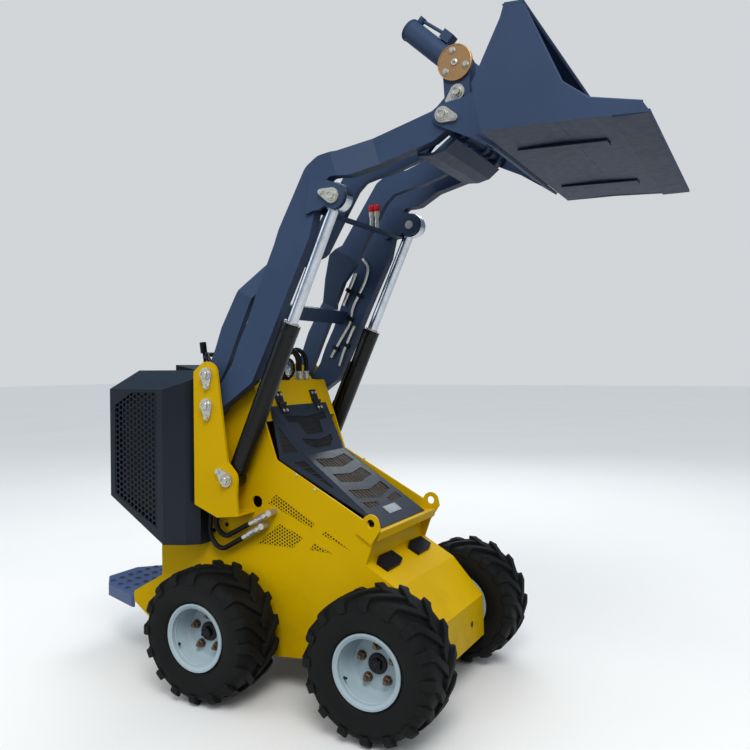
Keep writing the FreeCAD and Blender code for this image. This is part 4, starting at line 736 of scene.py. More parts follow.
@dataclass
class WheelCentre:
    """Rolled rim edge, barrel steps, nuts, castle nut and valve of one wheel."""

    bench: Bench
    tag: str
    axle_x: float
    side: Side
    axle_z: float = 0.2285
    disc: float = 0.382
    face: float = 0.465
    flange: float = 0.1145
    barrel: float = 0.0987
    circle: float = 0.057
    WASHER: Profile = ((0.0156, 0.0), (0.0156, 0.0022), (0.0149, 0.0034), (0.0, 0.0034))
    COLLAR: Profile = ((0.0325, -0.001), (0.0325, 0.0035), (0.0305, 0.0072), (0.0225, 0.0088),
                       (0.0, 0.0088))
    SPINDLE: Profile = ((0.0105, 0.010), (0.0105, 0.0158), (0.0088, 0.0172), (0.0, 0.0172))

    @property
    def body(self) -> str:
        """Body that carries the wheel's pieces."""
        return f"wheel_{self.tag}"

    def at(self, radius: float, angle: float, out: float) -> Vector:
        """Point by radius, angle and distance from the middle plane."""
        return Vector((self.axle_x + radius * math.cos(angle), self.side.value * out,
                       self.axle_z + radius * math.sin(angle)))

    @property
    def way(self) -> Vector:
        """Outward direction of the axle."""
        return Vector((0.0, self.side.value, 0.0))

    def rolls(self) -> None:
        """Rolled edge of the flange and two ridges in the barrel of the rim."""
        mesh = bmesh.new()
        hub = self.at(0.0, 0.0, 0.0)
        roll = [(self.flange - 0.004 + 0.0032 * math.cos(a), self.face - 0.0026 + 0.0026 * math.sin(a))
                for a in (math.pi * 2 * k / 12 for k in range(13))]
        self.bench.turned(mesh, hub, self.way, roll, 96)
        for depth, size in ((self.face - 0.022, 0.0016), (self.face - 0.046, 0.0019)):
            ridge = [(self.barrel + 0.0006, depth - 2.4 * size), (self.barrel - size, depth - size),
                     (self.barrel - 1.15 * size, depth), (self.barrel - size, depth + size),
                     (self.barrel + 0.0006, depth + 2.4 * size)]
            self.bench.turned(mesh, hub, self.way, ridge, 96)
        self.bench.keep(f"rim_rolls_{self.tag}", mesh, "rim_paint", self.body, "rim_paint", 60.0)

    def nuts(self) -> None:
        """Five wheel nuts with washers and stud ends."""
        mesh = bmesh.new()
        for i in range(5):
            place = self.at(self.circle, math.radians(90 + 72 * i), self.disc)
            self.bench.turned(mesh, place, self.way, self.WASHER, 28)
            self.bench.hexagon(mesh, place + self.way * 0.0033, self.way, 0.0136, 0.0115)
            self.bench.bar(mesh, place + self.way * 0.0147, place + self.way * 0.0262, 0.0073, 20, 0.0066)
        self.bench.keep(f"wheel_nuts_{self.tag}", mesh, "rust_nut", self.body, "bare_steel", 35.0)

    def centre(self) -> None:
        """Collar of the hub and its castle nut with the end of the spindle."""
        collar = bmesh.new()
        foot = self.at(0.0, 0.0, self.disc)
        self.bench.turned(collar, foot, self.way, self.COLLAR, 64)
        self.bench.keep(f"hub_collar_{self.tag}", collar, "engine_metal", self.body, "bare_steel", 40.0)
        castle = bmesh.new()
        spot = foot + self.way * 0.0087
        self.bench.hexagon(castle, spot, self.way, 0.0205, 0.0115)
        for i in range(6):
            tooth = self.at(0.0148, math.radians(30 + 60 * i), self.disc + 0.0200)
            self.bench.bar(castle, tooth, tooth + self.way * 0.0062, 0.0042, 6)
        self.bench.turned(castle, spot, self.way, self.SPINDLE, 32)
        self.bench.keep(f"castle_nut_{self.tag}", castle, "black_paint", self.body, "bare_steel", 35.0)

    def valve(self) -> None:
        """Rubber valve that leans out of the barrel of the rim."""
        mesh = bmesh.new()
        foot = self.at(self.barrel + 0.0005, math.radians(205), self.face - 0.030)
        tip = self.at(self.barrel - 0.020, math.radians(205), self.face - 0.012)
        self.bench.bar(mesh, foot, foot.lerp(tip, 0.4), 0.0055, 20, 0.0042)
        self.bench.bar(mesh, foot.lerp(tip, 0.38), tip, 0.0036, 16, 0.0034)
        self.bench.keep(f"valve_{self.tag}", mesh, "black_plastic", self.body, "tyre_rubber", 40.0)

    def build(self) -> None:
        """Make all the pieces."""
        self.rolls()
        self.nuts()
        self.centre()
        self.valve()


@dataclass
class Body:
    """Vents, box grilles, step, plate bolts and welds of the chassis, with discs of painted shade in the
    holes of the side plates and nose.
    """

    bench: Bench
    plate_out: float = 0.244
    plate_in: float = 0.236
    box_face: float = 0.400
    step_top: float = 250.0
    step_row: float = -522.0
    step_pitch_x: float = 66.0
    step_pitch_y: float = 50.0
    bead: float = 0.0042
    bead_pitch: float = 0.006

    VENTS: Tuple[Profile, ...] = (
        ((182, 693), (150, 658), (327, 587), (344, 605)),
        ((121, 621), (96, 589), (106, 584), (153, 615)),
        ((198, 590), (102, 513), (253, 511), (297, 553)),
        ((383, 581), (370, 568), (485, 524)),
        ((340, 537), (317, 512), (412, 508)),
    )
    STUD: Profile = ((0.0152, -0.0002), (0.0140, 0.0020), (0.0126, 0.0026), (0.0116, 0.0020),
                     (0.0112, 0.0002))
    BOLTS: Tuple[Tuple[float, float, float, float], ...] = (
        (-325, 690, 0.0075, 0.005), (-325, 1060, 0.0075, 0.005),
        (345, 721, 0.0055, 0.004), (272, 766, 0.0055, 0.004))
    WELDS: Tuple[Tuple[Tuple[float, float, float], Tuple[float, float, float]], ...] = (
        ((-90, -246, 1098), (-90, -246, 655)), ((-94, -330, 1098), (-94, -330, 655)),
        ((510, -246, 588), (559, -246, 556)), ((0, -246, 620), (90, -246, 631)))
    WINDOW: Profile = ((-430, 1008), (-338, 1054), (-205, 1054), (-208, 553), (-432, 671))

    def flat(self, rows: Iterable[Point]) -> List[Point]:
        """Outline in metres of this frame from rows measured from the rear axle."""
        return [((x - AXLE_SHIFT) / 1000.0, z / 1000.0) for x, z in rows]

    def vents(self) -> None:
        """Perforated sheet in each vent of both side plates, and a black sheet of painted shade behind it."""
        sheets, dark = bmesh.new(), bmesh.new()
        for rows in self.VENTS:
            outline = self.flat(rows)
            self.bench.hive(sheets, RIGHT * (self.plate_out - 0.0012), FRONT, UP, outline, 0.0118, 0.0040,
                            -0.0016)
            # black sheet just inside the plate: painted shade seen through the vent
            corners_in = [Vector((x, -self.plate_in + 0.0012, z)) for x, z in outline]
            middle = sum(corners_in, Vector()) / len(corners_in)
            self.bench.slab(dark, [middle + (p - middle) * 1.12 for p in corners_in], RIGHT * -0.0012)
        self.bench.keep("vent_mesh", sheets, "yellow_paint", "chassis", "yellow_paint", 30.0, both=True)
        self.bench.keep("vent_shade_backs", dark, "black_plastic", "chassis", "black_paint", 30.0, both=True)

    def grilles(self) -> None:
        """Honeycomb sheets behind the windows of the side boxes, and black sheets of painted shade behind
        them.
        """
        sheets, dark = bmesh.new(), bmesh.new()
        outline = self.flat(self.WINDOW)
        self.bench.hive(sheets, RIGHT * (self.box_face - 0.0034), FRONT, UP, outline, 0.0200, 0.0050,
                        -0.0018)
        # black sheet inside the box: painted shade seen through the honeycomb
        self.bench.slab(dark, [Vector((x, -self.box_face + 0.022, z)) for x, z in outline],
                        RIGHT * -0.0012)
        self.bench.keep("box_honeycomb", sheets, "box_paint", "chassis", "dark_paint", 30.0,
                        replaces=("box_screens",), both=True)
        self.bench.keep("box_shade_backs", dark, "black_plastic", "chassis", "black_paint", 30.0, both=True)

    def step(self) -> None:
        """Raised round holes of the step, in staggered rows, each with a black disc of painted shade inside
        its rim.
        """
        rims, holes = bmesh.new(), bmesh.new()
        for row in range(4):
            x = self.step_row - row * self.step_pitch_x
            reach = 209.0 if x > -560 else 209.0 - 0.42 * (-560 - x)
            for k in range(-5, 6):
                y = self.step_pitch_y * (k + 0.5 * (row % 2))
                if abs(y) > reach:
                    continue
                spot = rear(x, y, self.step_top)
                self.bench.turned(rims, spot, UP, self.STUD, 24)
                # black disc in each hole: painted shade of the dark inside of the hole
                self.bench.bar(holes, spot - UP * 0.0004, spot + UP * 0.0007, 0.0114, 24)
        self.bench.keep("step_studs", rims, "step_paint", "chassis", "step_paint", 50.0)
        self.bench.keep("step_hole_shade", holes, "black_plastic", "chassis", "step_paint", 30.0)

    def bolts(self) -> None:
        """Bolts of the side plates, and black discs of painted shade for the small round holes of the side
        plates and the two holes in the nose.
        """
        heads, dark = bmesh.new(), bmesh.new()
        for x, z, radius, height in self.BOLTS:
            self.bench.hexagon(heads, rear(x, -244, z), RIGHT, radius, height)
        # black discs: painted shade standing for the dark inside of the round holes
        for x, z in ((-31, 568), (-90, 542)):
            spot = rear(x, -244, z)
            self.bench.bar(dark, spot - RIGHT * 0.001, spot + RIGHT * 0.0006, 0.0085, 24)
        spot = rear(771.5, -120, 215)
        self.bench.bar(dark, spot, spot + FRONT * 0.0006, 0.010, 24)
        self.bench.keep("plate_bolts", heads, "bare_steel", "chassis", "bare_steel", 35.0, both=True)
        self.bench.keep("plate_hole_shade", dark, "black_plastic", "chassis", "black_paint", 30.0, both=True)

    def welds(self) -> None:
        """Weld beads along the uprights, the lifting eyes and the side plates."""
        mesh = bmesh.new()
        for start, end in self.WELDS:
            a, b = rear(*start), rear(*end)
            count = max(3, int((b - a).length / self.bead_pitch))
            for k in range(count):
                bmesh.ops.create_icosphere(mesh, subdivisions=1, radius=self.bead,
                                           matrix=Matrix.Translation(a.lerp(b, (k + 0.5) / count)))
        self.bench.keep("weld_beads", mesh, "yellow_paint", "chassis", "yellow_paint", 80.0, both=True)

    def build(self) -> None:
        """Make all the pieces."""
        self.vents()
        self.grilles()
        self.step()
        self.bolts()
        self.welds()


@dataclass
class Hood:
    """Slats and louvres behind the hood's openings, the blank plate, and hinge and console bolts."""

    bench: Bench
    top: Tuple[float, float] = (128.0, 995.0)
    fold: Tuple[float, float] = (238.0, 820.0)
    tip: Tuple[float, float] = (565.0, 597.0)
    sheet: float = 0.003
    slat: float = 0.0084
    slat_pitch: float = 0.0212

    def panel(self, start: Point, end: Point) -> Tuple[Vector, Vector, Vector]:
        """Origin, downward and outward unit vectors of one panel.

        Args:
            start: its upper edge, forward and up from the rear axle in millimetres.
            end: its lower edge, likewise.

        Returns:
            The middle of the upper edge, the vector down the panel and the one out of it.
        """
        origin = rear(start[0], 0.0, start[1])
        down = (rear(end[0], 0.0, end[1]) - origin).normalized()
        return origin, down, Vector((-down.z, 0.0, down.x))

    def slats(self) -> None:
        """Flat slats, each with a bar on its middle, under the openings of the lower panel."""
        mesh = bmesh.new()
        origin, down, out = self.panel(self.fold, self.tip)
        wide, far, end = Vector((0.0, self.slat, 0.0)), down * 0.294, down * 0.004
        for k in range(-6, 7):
            low = (origin + down * 0.018 - out * (self.sheet + 0.0002)
                   - RIGHT * (self.slat_pitch * k) - wide / 2)
            self.bench.slab(mesh, [low, low + wide, low + wide + far, low + far], -out * 0.0002)
            self.bench.bar(mesh, low + wide / 2 + end, low + wide / 2 + far - end, 0.0026, 10)
        self.bench.keep("lower_slats", mesh, "slat_steel", "hood", "steel_mesh", 40.0)

    def louvres(self) -> None:
        """Bent louvres under the openings of the upper panel, in two halves each."""
        mesh = bmesh.new()
        origin, down, out = self.panel(self.top, self.fold)
        for k in range(10):
            bend = origin + down * (0.046 + 0.0165 * k) - out * (self.sheet + 0.0003)
            for side in Side:
                end = bend + Vector((0.0, side.value * 0.139, 0.0)) - down * 0.010
                self.bench.bar(mesh, bend, end, 0.0027, 8)
        self.bench.keep("upper_louvres", mesh, "black_plastic", "hood", "steel_mesh", 50.0)

    def plate(self) -> None:
        """Small bare metal plate with four rivets near the tip."""
        mesh = bmesh.new()
        origin, down, out = self.panel(self.fold, self.tip)
        low = origin + down * 0.318 + RIGHT * 0.048
        wide, far = RIGHT * -0.096, down * 0.036
        self.bench.slab(mesh, [low, low + wide, low + wide + far, low + far], out * 0.0012)
        for a in (0.06, 0.94):
            for b in (0.16, 0.84):
                spot = low + wide * a + far * b + out * 0.0011
                self.bench.bar(mesh, spot, spot + out * 0.0012, 0.0022, 14, 0.0016)
        self.bench.keep("bare_plate", mesh, "plate_silver", "hood", "steel_mesh", 30.0, bevel=0.0003)

    def bolts(self) -> None:
        """Bolts through the hinge straps, on the hood and on the console."""
        console = ((90.0, 1085.0), (140.0, 945.0))
        rows = (("hinge_bolts", "hood", (self.top, self.fold), 0.022, 0.0043),
                ("console_bolts", "chassis", console, 0.055, 0.0063))
        for name, body, (start, end), along, lift in rows:
            mesh = bmesh.new()
            origin, down, out = self.panel(start, end)
            for y in (0.109, 0.131):
                self.bench.hexagon(mesh, origin + down * along + RIGHT * y + out * lift, out, 0.0062, 0.0042)
            self.bench.keep(name, mesh, "bare_steel", body, "bare_steel", 35.0, both=True)

    def build(self) -> None:
        """Make all the pieces."""
        self.slats()
        self.louvres()
        self.plate()
        self.bolts()


@dataclass
class Pins:
    """Heads, washers and bolts on the retainer plates of the pivot pins."""

    bench: Bench
    ROWS: Tuple[Tuple[str, str, Point, Point, float], ...] = (
        ("arm_pin", "chassis", (-37, 1004), (3, -42), 349.0),
        ("link_pin", "chassis", (-37, 1112), (3, -42), 349.0),
        ("foot_pin", "chassis", (45.5, 748), (-31, 28), 349.0),
        ("eye_pin", "lift_arms", (468.6, 1686.3), (-38, 14), 334.0),
        ("tip_pin", "bucket", (828, 1906), (38, -14), 274.0),
        ("link_tip_pin", "coupler", (828, 2014), (-30, -26), 148.0),
    )
    HEAD: Profile = (
        (0.0185, -0.0002), (0.0185, 0.0030), (0.0172, 0.0046), (0.0148, 0.0050), (0.0148, 0.0145),
        (0.0135, 0.0160), (0.0086, 0.0160), (0.0086, 0.0120), (0.0, 0.0120))

    def build(self) -> None:
        """Make one piece for each row, on both sides."""
        for name, body, centre, tail, seat in self.ROWS:
            mesh = bmesh.new()
            hub = rear(centre[0], -seat, centre[1])
            self.bench.turned(mesh, hub, RIGHT, self.HEAD, 40)
            tip = rear(centre[0] + tail[0], -seat, centre[1] + tail[1])
            self.bench.washer(mesh, tip, RIGHT, 0.0098, 0.0018)
            self.bench.hexagon(mesh, tip + RIGHT * 0.0016, RIGHT, 0.0088, 0.0075)
            self.bench.keep(f"{name}_heads", mesh, "bare_steel", body, "bare_steel", 35.0, both=True)


@dataclass
class Hydraulics:
    """Glands, ports, wipers and couplings of the cylinders and hoses."""

    bench: Bench
    foot: Point = (45.5, 748.0)
    eye: Point = (468.6, 1686.3)
    trunnion: Point = (821.0, 2108.5)
    tilt_eye: Point = (1014.0, 1932.0)
    lift_y: float = 292.0
    cap_y: float = 150.0
    GLAND: Profile = ((0.0329, 0.548), (0.0337, 0.550), (0.0337, 0.583), (0.0328, 0.5862),
                      (0.0205, 0.5866))
    FOOT: Profile = ((0.0329, 0.036), (0.0337, 0.038), (0.0337, 0.050), (0.0329, 0.052))
    WIPER: Profile = ((0.0250, 0.5864), (0.0250, 0.5900), (0.0225, 0.5920), (0.0200, 0.5920))
    TILT_GLAND: Profile = ((0.0381, 0.052), (0.0402, 0.054), (0.0402, 0.084), (0.0385, 0.0866),
                           (0.0212, 0.0870))
    TILT_END: Profile = ((0.0381, -0.296), (0.0398, -0.298), (0.0398, -0.303), (0.0375, -0.3062),
                         (0.0, -0.3064))
    TILT_WIPER: Profile = ((0.0262, 0.0868), (0.0262, 0.0905), (0.0235, 0.0925), (0.0206, 0.0925))
    NIPPLE: Profile = ((0.0105, 0.0), (0.0105, 0.004), (0.0060, 0.006), (0.0055, 0.012), (0.0032, 0.014),
                       (0.0032, 0.017), (0.0, 0.0178))
    CAP_RIM: Profile = ((0.0572, -0.001), (0.0584, 0.0), (0.0572, 0.0012), (0.0545, 0.0014),
                        (0.0535, -0.0002))
    DUST_CAP: Profile = ((0.0108, 0.0), (0.0112, 0.004), (0.0112, 0.021), (0.0098, 0.0245),
                         (0.0, 0.0250))
    CLIPS: Profile = ((137, 1212), (203, 1332), (243, 1425), (184, 1224), (200, 1443))
    UNIONS: Profile = ((62, 150), (44, 118), (66, 96))
    SIDE_HOSES: Tuple[Tuple[Point, Point], ...] = (((60, 534), (147, 583)), ((90, 586), (179, 632)))

    def glands(self) -> None:
        """Glands, foot rings and wiper rings at the ends of the barrels."""
        lift, tilt = bmesh.new(), bmesh.new()
        lift_ring, tilt_ring = bmesh.new(), bmesh.new()
        foot, eye = (rear(x, -self.lift_y, z) for x, z in (self.foot, self.eye))
        trunnion, tilt_eye = (rear(x, 0.0, z) for x, z in (self.trunnion, self.tilt_eye))
        for mesh, start, end, profile, steps in (
                (lift, foot, eye, self.GLAND, 48), (lift, foot, eye, self.FOOT, 48),
                (lift_ring, foot, eye, self.WIPER, 40), (tilt, trunnion, tilt_eye, self.TILT_GLAND, 48),
                (tilt, trunnion, tilt_eye, self.TILT_END, 48),
                (tilt_ring, trunnion, tilt_eye, self.TILT_WIPER, 40)):
            self.bench.turned(mesh, start, (end - start).normalized(), profile, steps)
        self.bench.keep("lift_glands", lift, "black_paint", "lift_barrels", "black_paint", 40.0, both=True)
        self.bench.keep("lift_wipers", lift_ring, "bare_steel", "lift_barrels", "bare_steel", 40.0,
                        both=True)
        self.bench.keep("tilt_glands", tilt, "dark_paint", "tilt_barrel", "black_paint", 40.0)
        self.bench.keep("tilt_wiper", tilt_ring, "bare_steel", "tilt_barrel", "bare_steel", 40.0)

    def caps(self) -> None:
        """Bolts, grease nipple and turned rim of the trunnion caps."""
        bolts, rims = bmesh.new(), bmesh.new()
        hub = rear(self.trunnion[0], -self.cap_y, self.trunnion[1])
        for k in range(3):
            angle = math.radians(100 + 120 * k)
            spot = hub + Vector((math.cos(angle), 0.0, math.sin(angle))) * 0.040
            self.bench.washer(bolts, spot, RIGHT, 0.0108, 0.0016)
            self.bench.hexagon(bolts, spot + RIGHT * 0.0015, RIGHT, 0.0092, 0.0070)
        self.bench.turned(bolts, hub, RIGHT, self.NIPPLE, 24)
        self.bench.turned(rims, hub, RIGHT, self.CAP_RIM, 72)
        self.bench.keep("cap_bolts", bolts, "bare_steel", "coupler", "bare_steel", 35.0, both=True)
        self.bench.keep("cap_rims", rims, "copper_cap", "coupler", "copper_cap", 60.0, both=True)

    def couplings(self) -> None:
        """Red dust caps and pipe clips of the arms, and union nuts of the hoses."""
        caps, clips, nuts = bmesh.new(), bmesh.new(), bmesh.new()
        for x in (408, 430):
            self.bench.turned(caps, rear(x, 62, 1706), UP, self.DUST_CAP, 28)
        lean = Matrix.Rotation(math.radians(-58), 4, "Y") @ Matrix.Diagonal((0.016, 0.0140, 0.030, 1.0))
        for x, z in self.CLIPS:
            bmesh.ops.create_cube(clips, size=1.0, matrix=Matrix.Translation(rear(x, 262.9, z)) @ lean)
        for x, y in self.UNIONS:
            self.bench.hexagon(nuts, rear(x, y, 1098), UP, 0.0138, 0.0105)
            self.bench.hexagon(nuts, rear(x, y, 1112), UP, 0.0122, 0.0085)
        for start, far in self.SIDE_HOSES:
            a, b = rear(start[0], -270, start[1]), rear(far[0], -270, far[1])
            way = (b - a).normalized()
            for along, size, long in ((0.003, 0.0108, 0.024), (0.030, 0.0122, 0.009), (0.066, 0.0128, 0.013)):
                self.bench.hexagon(nuts, a + way * along, way, size, long)
        self.bench.keep("dust_caps", caps, "red_plastic", "lift_arms", "bare_steel", 40.0)
        self.bench.keep("pipe_clips", clips, "black_plastic", "lift_arms", "bare_steel", 30.0, bevel=0.0015)
        self.bench.keep("union_nuts", nuts, "bare_steel", "chassis", "bare_steel", 35.0)

    def build(self) -> None:
        """Make all the pieces."""
        self.glands()
        self.caps()
        self.couplings()


@dataclass
class Bucket:
    """Cutting edge, wear strips, side lips and top roll of the bucket."""

    bench: Bench
    half: float = 495.0
    lip: float = 0.0047
    CORNERS: Profile = ((1146, 2080), (1246, 1860), (1314, 1808), (1444, 1779))

    def edge(self) -> None:
        """Bevelled cutting edge under the lip of the floor."""
        mesh = bmesh.new()
        down = Vector((-0.048, 0.0, -0.999))
        rings = []
        for y in (1.0 - self.half, self.half - 1.0):
            low, tip = rear(1372, y, 1755.5), rear(1458, y, 1751.3)
            rings.append([low, tip, tip + down * 0.0006, low + down * 0.0048])
        self.bench.loft(mesh, rings)
        self.bench.keep("cutting_edge", mesh, "worn_paint", "bucket", "dark_paint", 30.0, bevel=0.0006)

    def strips(self) -> None:
        """Two wear strips along the underside."""
        mesh = bmesh.new()
        start, end = rear(1068, -232, 1764.4), rear(1322, -232, 1758.0)
        wide = RIGHT * 0.056
        self.bench.slab(mesh, [start, start + wide, end + wide, end], UP * -0.0056)
        self.bench.keep("wear_strips", mesh, "worn_paint", "bucket", "dark_paint", 30.0, bevel=0.0012,
                        both=True)

    def rims(self) -> None:
        """Rounded edges of the side plates and the roll along the top."""
        lips, roll = bmesh.new(), bmesh.new()
        for start, end in zip(self.CORNERS, self.CORNERS[1:]):
            a, b = (rear(x, 4.8 - self.half, z) for x, z in (start, end))
            self.bench.bar(lips, a, b, self.lip, 12)
        self.bench.bar(roll, rear(1141, 1.0 - self.half, 2090), rear(1141, self.half - 1.0, 2090), 0.0075, 16)
        self.bench.keep("side_lips", lips, "dark_paint", "bucket", "dark_paint", 50.0, both=True)
        self.bench.keep("top_roll", roll, "dark_paint", "bucket", "dark_paint", 50.0)

    def build(self) -> None:
        """Make all the pieces."""
        self.edge()
        self.strips()
        self.rims()


@dataclass
class Lamp:
    """Bezel, cooling ribs and bulb of the work lamp."""

    bench: Bench
    x: float = 58.0
    y: float = 36.0
    z: float = 1131.0
    ribs: int = 8
    BEZEL: Profile = ((0.0381, -0.012), (0.0396, -0.010), (0.0396, -0.001), (0.0384, 0.0016),
                      (0.0345, 0.0016), (0.0336, -0.003))
    BULB: Profile = ((0.0085, -0.005), (0.0085, 0.0008), (0.0060, 0.0036), (0.0, 0.0046))

    def build(self) -> None:
        """Make the bezel with its ribs, and the bulb."""
        bezel, bulb = bmesh.new(), bmesh.new()
        spot = rear(self.x, self.y, self.z)
        self.bench.turned(bezel, spot, FRONT, self.BEZEL, 48)
        for k in range(self.ribs):
            angle = math.pi * 2 * k / self.ribs
            out = Vector((0.0, math.cos(angle), math.sin(angle)))
            self.bench.bar(bezel, spot - FRONT * 0.046 + out * 0.026, spot - FRONT * 0.016 + out * 0.035,
                           0.0032, 8)
        self.bench.turned(bulb, spot, FRONT, self.BULB, 24)
        self.bench.keep("lamp_bezel", bezel, "black_plastic", "chassis", "black_plastic", 40.0)
        self.bench.keep("lamp_bulb", bulb, "plate_silver", "chassis", "chrome_rod", 60.0)


@dataclass
class Studio:
    """Floor, lamps, world and camera."""

    place: Tuple[float, float, float] = (1.39167, -2.47131, 1.13818)
    heading: float = math.radians(-27.337)
    pitch: float = -0.0117
    roll: float = -0.0065
    focal: float = 771.43
    frame: float = 750.0
    sensor: float = 36.0
    bounce: Colour = (0.12, 0.13, 0.14)
    light: Tuple[Colour, float] = ((0.90, 0.95, 1.0), 0.80)
    mirror: Tuple[Colour, float] = ((0.42, 0.56, 0.80), 0.42)
    seen: Tuple[Colour, float] = ((0.90, 0.93, 0.96), 0.72)
    SHOWN: Tuple[str, ...] = ("Is Camera Ray", "Is Glossy Ray", "Is Transmission Ray")

    def floor(self) -> None:
        """Large pale floor."""
        mesh = bmesh.new()
        bmesh.ops.create_grid(mesh, x_segments=2, y_segments=2, size=40.0)
        data = bpy.data.meshes.new("floor")
        mesh.to_mesh(data)
        mesh.free()
        tree = Shader("floor_paint")
        tone = tree.noise(tree.place(), 0.8, 3.0).band(0.3, 0.7)
        tree.set(Base_Color=tree.blend(tone * 0.5, (0.84, 0.84, 0.83), (0.79, 0.79, 0.79)),
                 Roughness=0.8 + tone * 0.1, Specular_IOR_Level=0.1)
        shown = sum((tree.add("ShaderNodeLightPath", out=ray) for ray in self.SHOWN), 0.0).band(0.0, 1.0)
        dim = tree.add("ShaderNodeBsdfDiffuse", None, {"Color": self.bounce})
        mixed = tree.add("ShaderNodeMixShader", None, {0: shown, 1: dim, 2: tree.surface})
        tree.feed(tree.end.node.inputs["Surface"], mixed)
        data.materials.append(tree.material)
        piece = bpy.data.objects.new("floor", data)
        bpy.context.scene.collection.objects.link(piece)

    def lamp(self, name: str, place: Vector, target: Vector, size: float, power: float,
             colour: Colour = (1.0, 1.0, 1.0)) -> None:
        """Square area lamp aimed at a point.

        Args:
            name: name of the lamp.
            place: where it hangs.
            target: the point that it shines at.
            size: length of its side.
            power: watts.
            colour: linear colour of its light.
        """
        data = bpy.data.lights.new(name, "AREA")
        data.size = size
        data.energy = power
        data.color = colour
        lamp = bpy.data.objects.new(name, data)
        lamp.matrix_world = Matrix.Translation(place) @ (target - place).to_track_quat(
            "-Z", "Y").to_matrix().to_4x4()
        bpy.context.scene.collection.objects.link(lamp)

    def world(self) -> None:
        """Soft even light, paler where the camera and mirrors look."""
        world = bpy.data.worlds.new("studio")
        bpy.context.scene.world = world
        world.use_nodes = True
        tree = Tree(world.node_tree)
        light, mirror, seen = (tree.add("ShaderNodeBackground", None, {"Color": colour, "Strength": strength})
                               for colour, strength in (self.light, self.mirror, self.seen))
        glossy = tree.add("ShaderNodeLightPath", out="Is Glossy Ray")
        direct = tree.add("ShaderNodeLightPath", out="Is Camera Ray")
        around = tree.add("ShaderNodeMixShader", None, {0: glossy, 1: light, 2: mirror})
        shown = tree.add("ShaderNodeMixShader", None, {0: direct, 1: around, 2: seen})
        tree.add("ShaderNodeOutputWorld", None, {"Surface": shown})

    def camera(self) -> None:
        """Camera at the photograph's viewing point."""
        ahead = Vector((math.cos(self.pitch) * math.sin(self.heading),
                        math.cos(self.pitch) * math.cos(self.heading), math.sin(self.pitch)))
        right = ahead.cross(Vector((0.0, 0.0, 1.0))).normalized()
        up = right.cross(ahead)
        across = right * math.cos(self.roll) + up * math.sin(self.roll)
        upward = up * math.cos(self.roll) - right * math.sin(self.roll)
        data = bpy.data.cameras.new("camera")
        data.sensor_width = self.sensor
        data.sensor_fit = "HORIZONTAL"
        data.lens = self.focal / self.frame * self.sensor
        camera = bpy.data.objects.new("camera", data)
        turn = Matrix((across, upward, -ahead)).transposed().to_4x4()
        camera.matrix_world = Matrix.Translation(Vector(self.place)) @ turn
        bpy.context.scene.collection.objects.link(camera)
        bpy.context.scene.camera = camera

    def build(self) -> None:
        """Set up everything around the machine."""
        self.floor()
        self.world()
        middle = Vector((0.0, 0.0, 1.0))
        self.lamp("key", Vector((2.2, -3.6, 5.2)), middle, 2.6, 205.0, (1.0, 0.98, 0.95))
        self.lamp("fill", Vector((-4.4, -3.6, 3.2)), middle, 3.6, 60.0, (0.9, 0.95, 1.0))
        self.lamp("rim", Vector((-1.5, 4.6, 4.2)), middle, 3.0, 90.0, (0.95, 0.98, 1.0))
        bpy.context.scene.view_settings.view_transform = "Standard"
        self.camera()


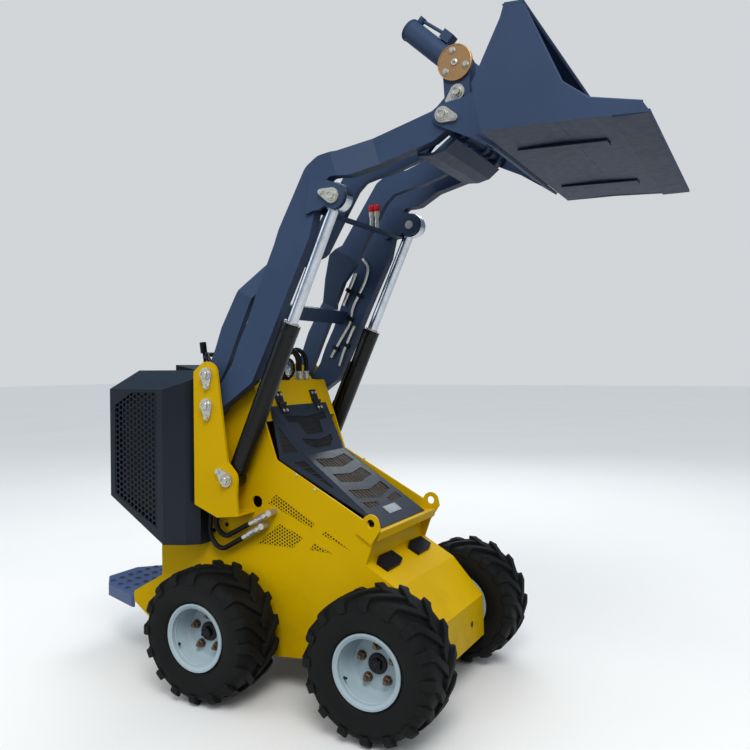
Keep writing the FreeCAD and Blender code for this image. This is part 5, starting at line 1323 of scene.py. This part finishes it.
class NodeFinish(Enum):
    """Finish that each solid of the frame carries."""

    YELLOW = ("yellow_paint", ("side_plates", "nose_belly_sheet", "console_cover", "front_crossbar",
                               "lifting_eyes", "uprights"))
    DARK = ("dark_paint", ("tilt_barrel", "tilt_ports", "main_arms", "arm_cross_members",
                           "lift_brackets", "links", "coupler", "hitch_frame", "bucket"))
    BOX = ("box_paint", ("side_boxes", "box_screens"))
    HOOD = ("hood_paint", ("hood",))
    BLACK = ("black_paint", ("wheel_motors", "lift_barrels", "lift_guards",
                             "control_panel", "grab_rail"))
    STEP = ("step_paint", ("step_platform",))
    STEEL = ("bare_steel", ("upright_pins", "lift_eye_pins", "link_tip_pins", "tip_pins", "arm_pipes",
                            "quick_couplers", "hose_fittings"))
    CHROME = ("chrome_rod", ("lift_rods", "tilt_rod"))
    COPPER = ("copper_cap", ("trunnion_caps",))
    ENGINE = ("engine_metal", ("engine_block", "hinge_leaves", "hood_hinges"))
    MESH = ("steel_mesh", ("hood_screens",))
    RUBBER = ("hose_rubber", ("chassis_hoses", "slope_pads"))
    PLASTIC = ("black_plastic", ("work_lamp",))
    LENS = ("lamp_reflector", ("lamp_lens",))


@dataclass
class Machine:
    """The whole loader over its frame."""

    frame: Dict[str, Any]
    bench: Bench
    WHEELS: Tuple[Tuple[str, float, Side], ...] = (
        ("rear_right", -0.336, Side.RIGHT), ("rear_left", -0.336, Side.LEFT),
        ("front_right", 0.316, Side.RIGHT), ("front_left", 0.316, Side.LEFT))

    def dress(self) -> None:
        """Give every solid its finish."""
        wanted: Dict[str, str] = {}
        for row in NodeFinish:
            finish, names = row.value
            for name in names:
                wanted[name] = finish
        for tag, _, _ in self.WHEELS:
            wanted[f"tyre_{tag}"] = "tyre_rubber"
            wanted[f"rim_{tag}"] = "rim_paint"
            wanted[f"hub_{tag}"] = "engine_metal"
        for name, solid in self.frame["nodes"].items():
            finish = wanted.get(name, "dark_paint")
            solid.data.materials.clear()
            solid.data.materials.append(self.bench.finishes[finish])
            LOG.info("%s wears %s", name, finish)

    def build(self) -> None:
        """Dress the solids and add the fine pieces in order."""
        self.dress()
        for tag, x, side in self.WHEELS:
            Tyre(self.bench, tag, x, side).build()
            WheelCentre(self.bench, tag, x, side).build()
        for piece in (Body(self.bench), Hood(self.bench), Pins(self.bench), Hydraulics(self.bench),
                      Bucket(self.bench), Lamp(self.bench)):
            piece.build()
            LOG.info("%s done", type(piece).__name__)


def corners(box: Any) -> List[List[float]]:
    """Two corners as plain lists."""
    return [[float(value) for value in corner] for corner in box]


def main() -> None:
    """Load the frame and build everything around it."""
    logging.basicConfig(level=logging.INFO, format="%(message)s")
    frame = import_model()
    finishes = Finishes()
    finishes.stock()
    Machine(frame, Bench(finishes)).build()
    Studio().build()


if __name__ == "__main__":
    main()
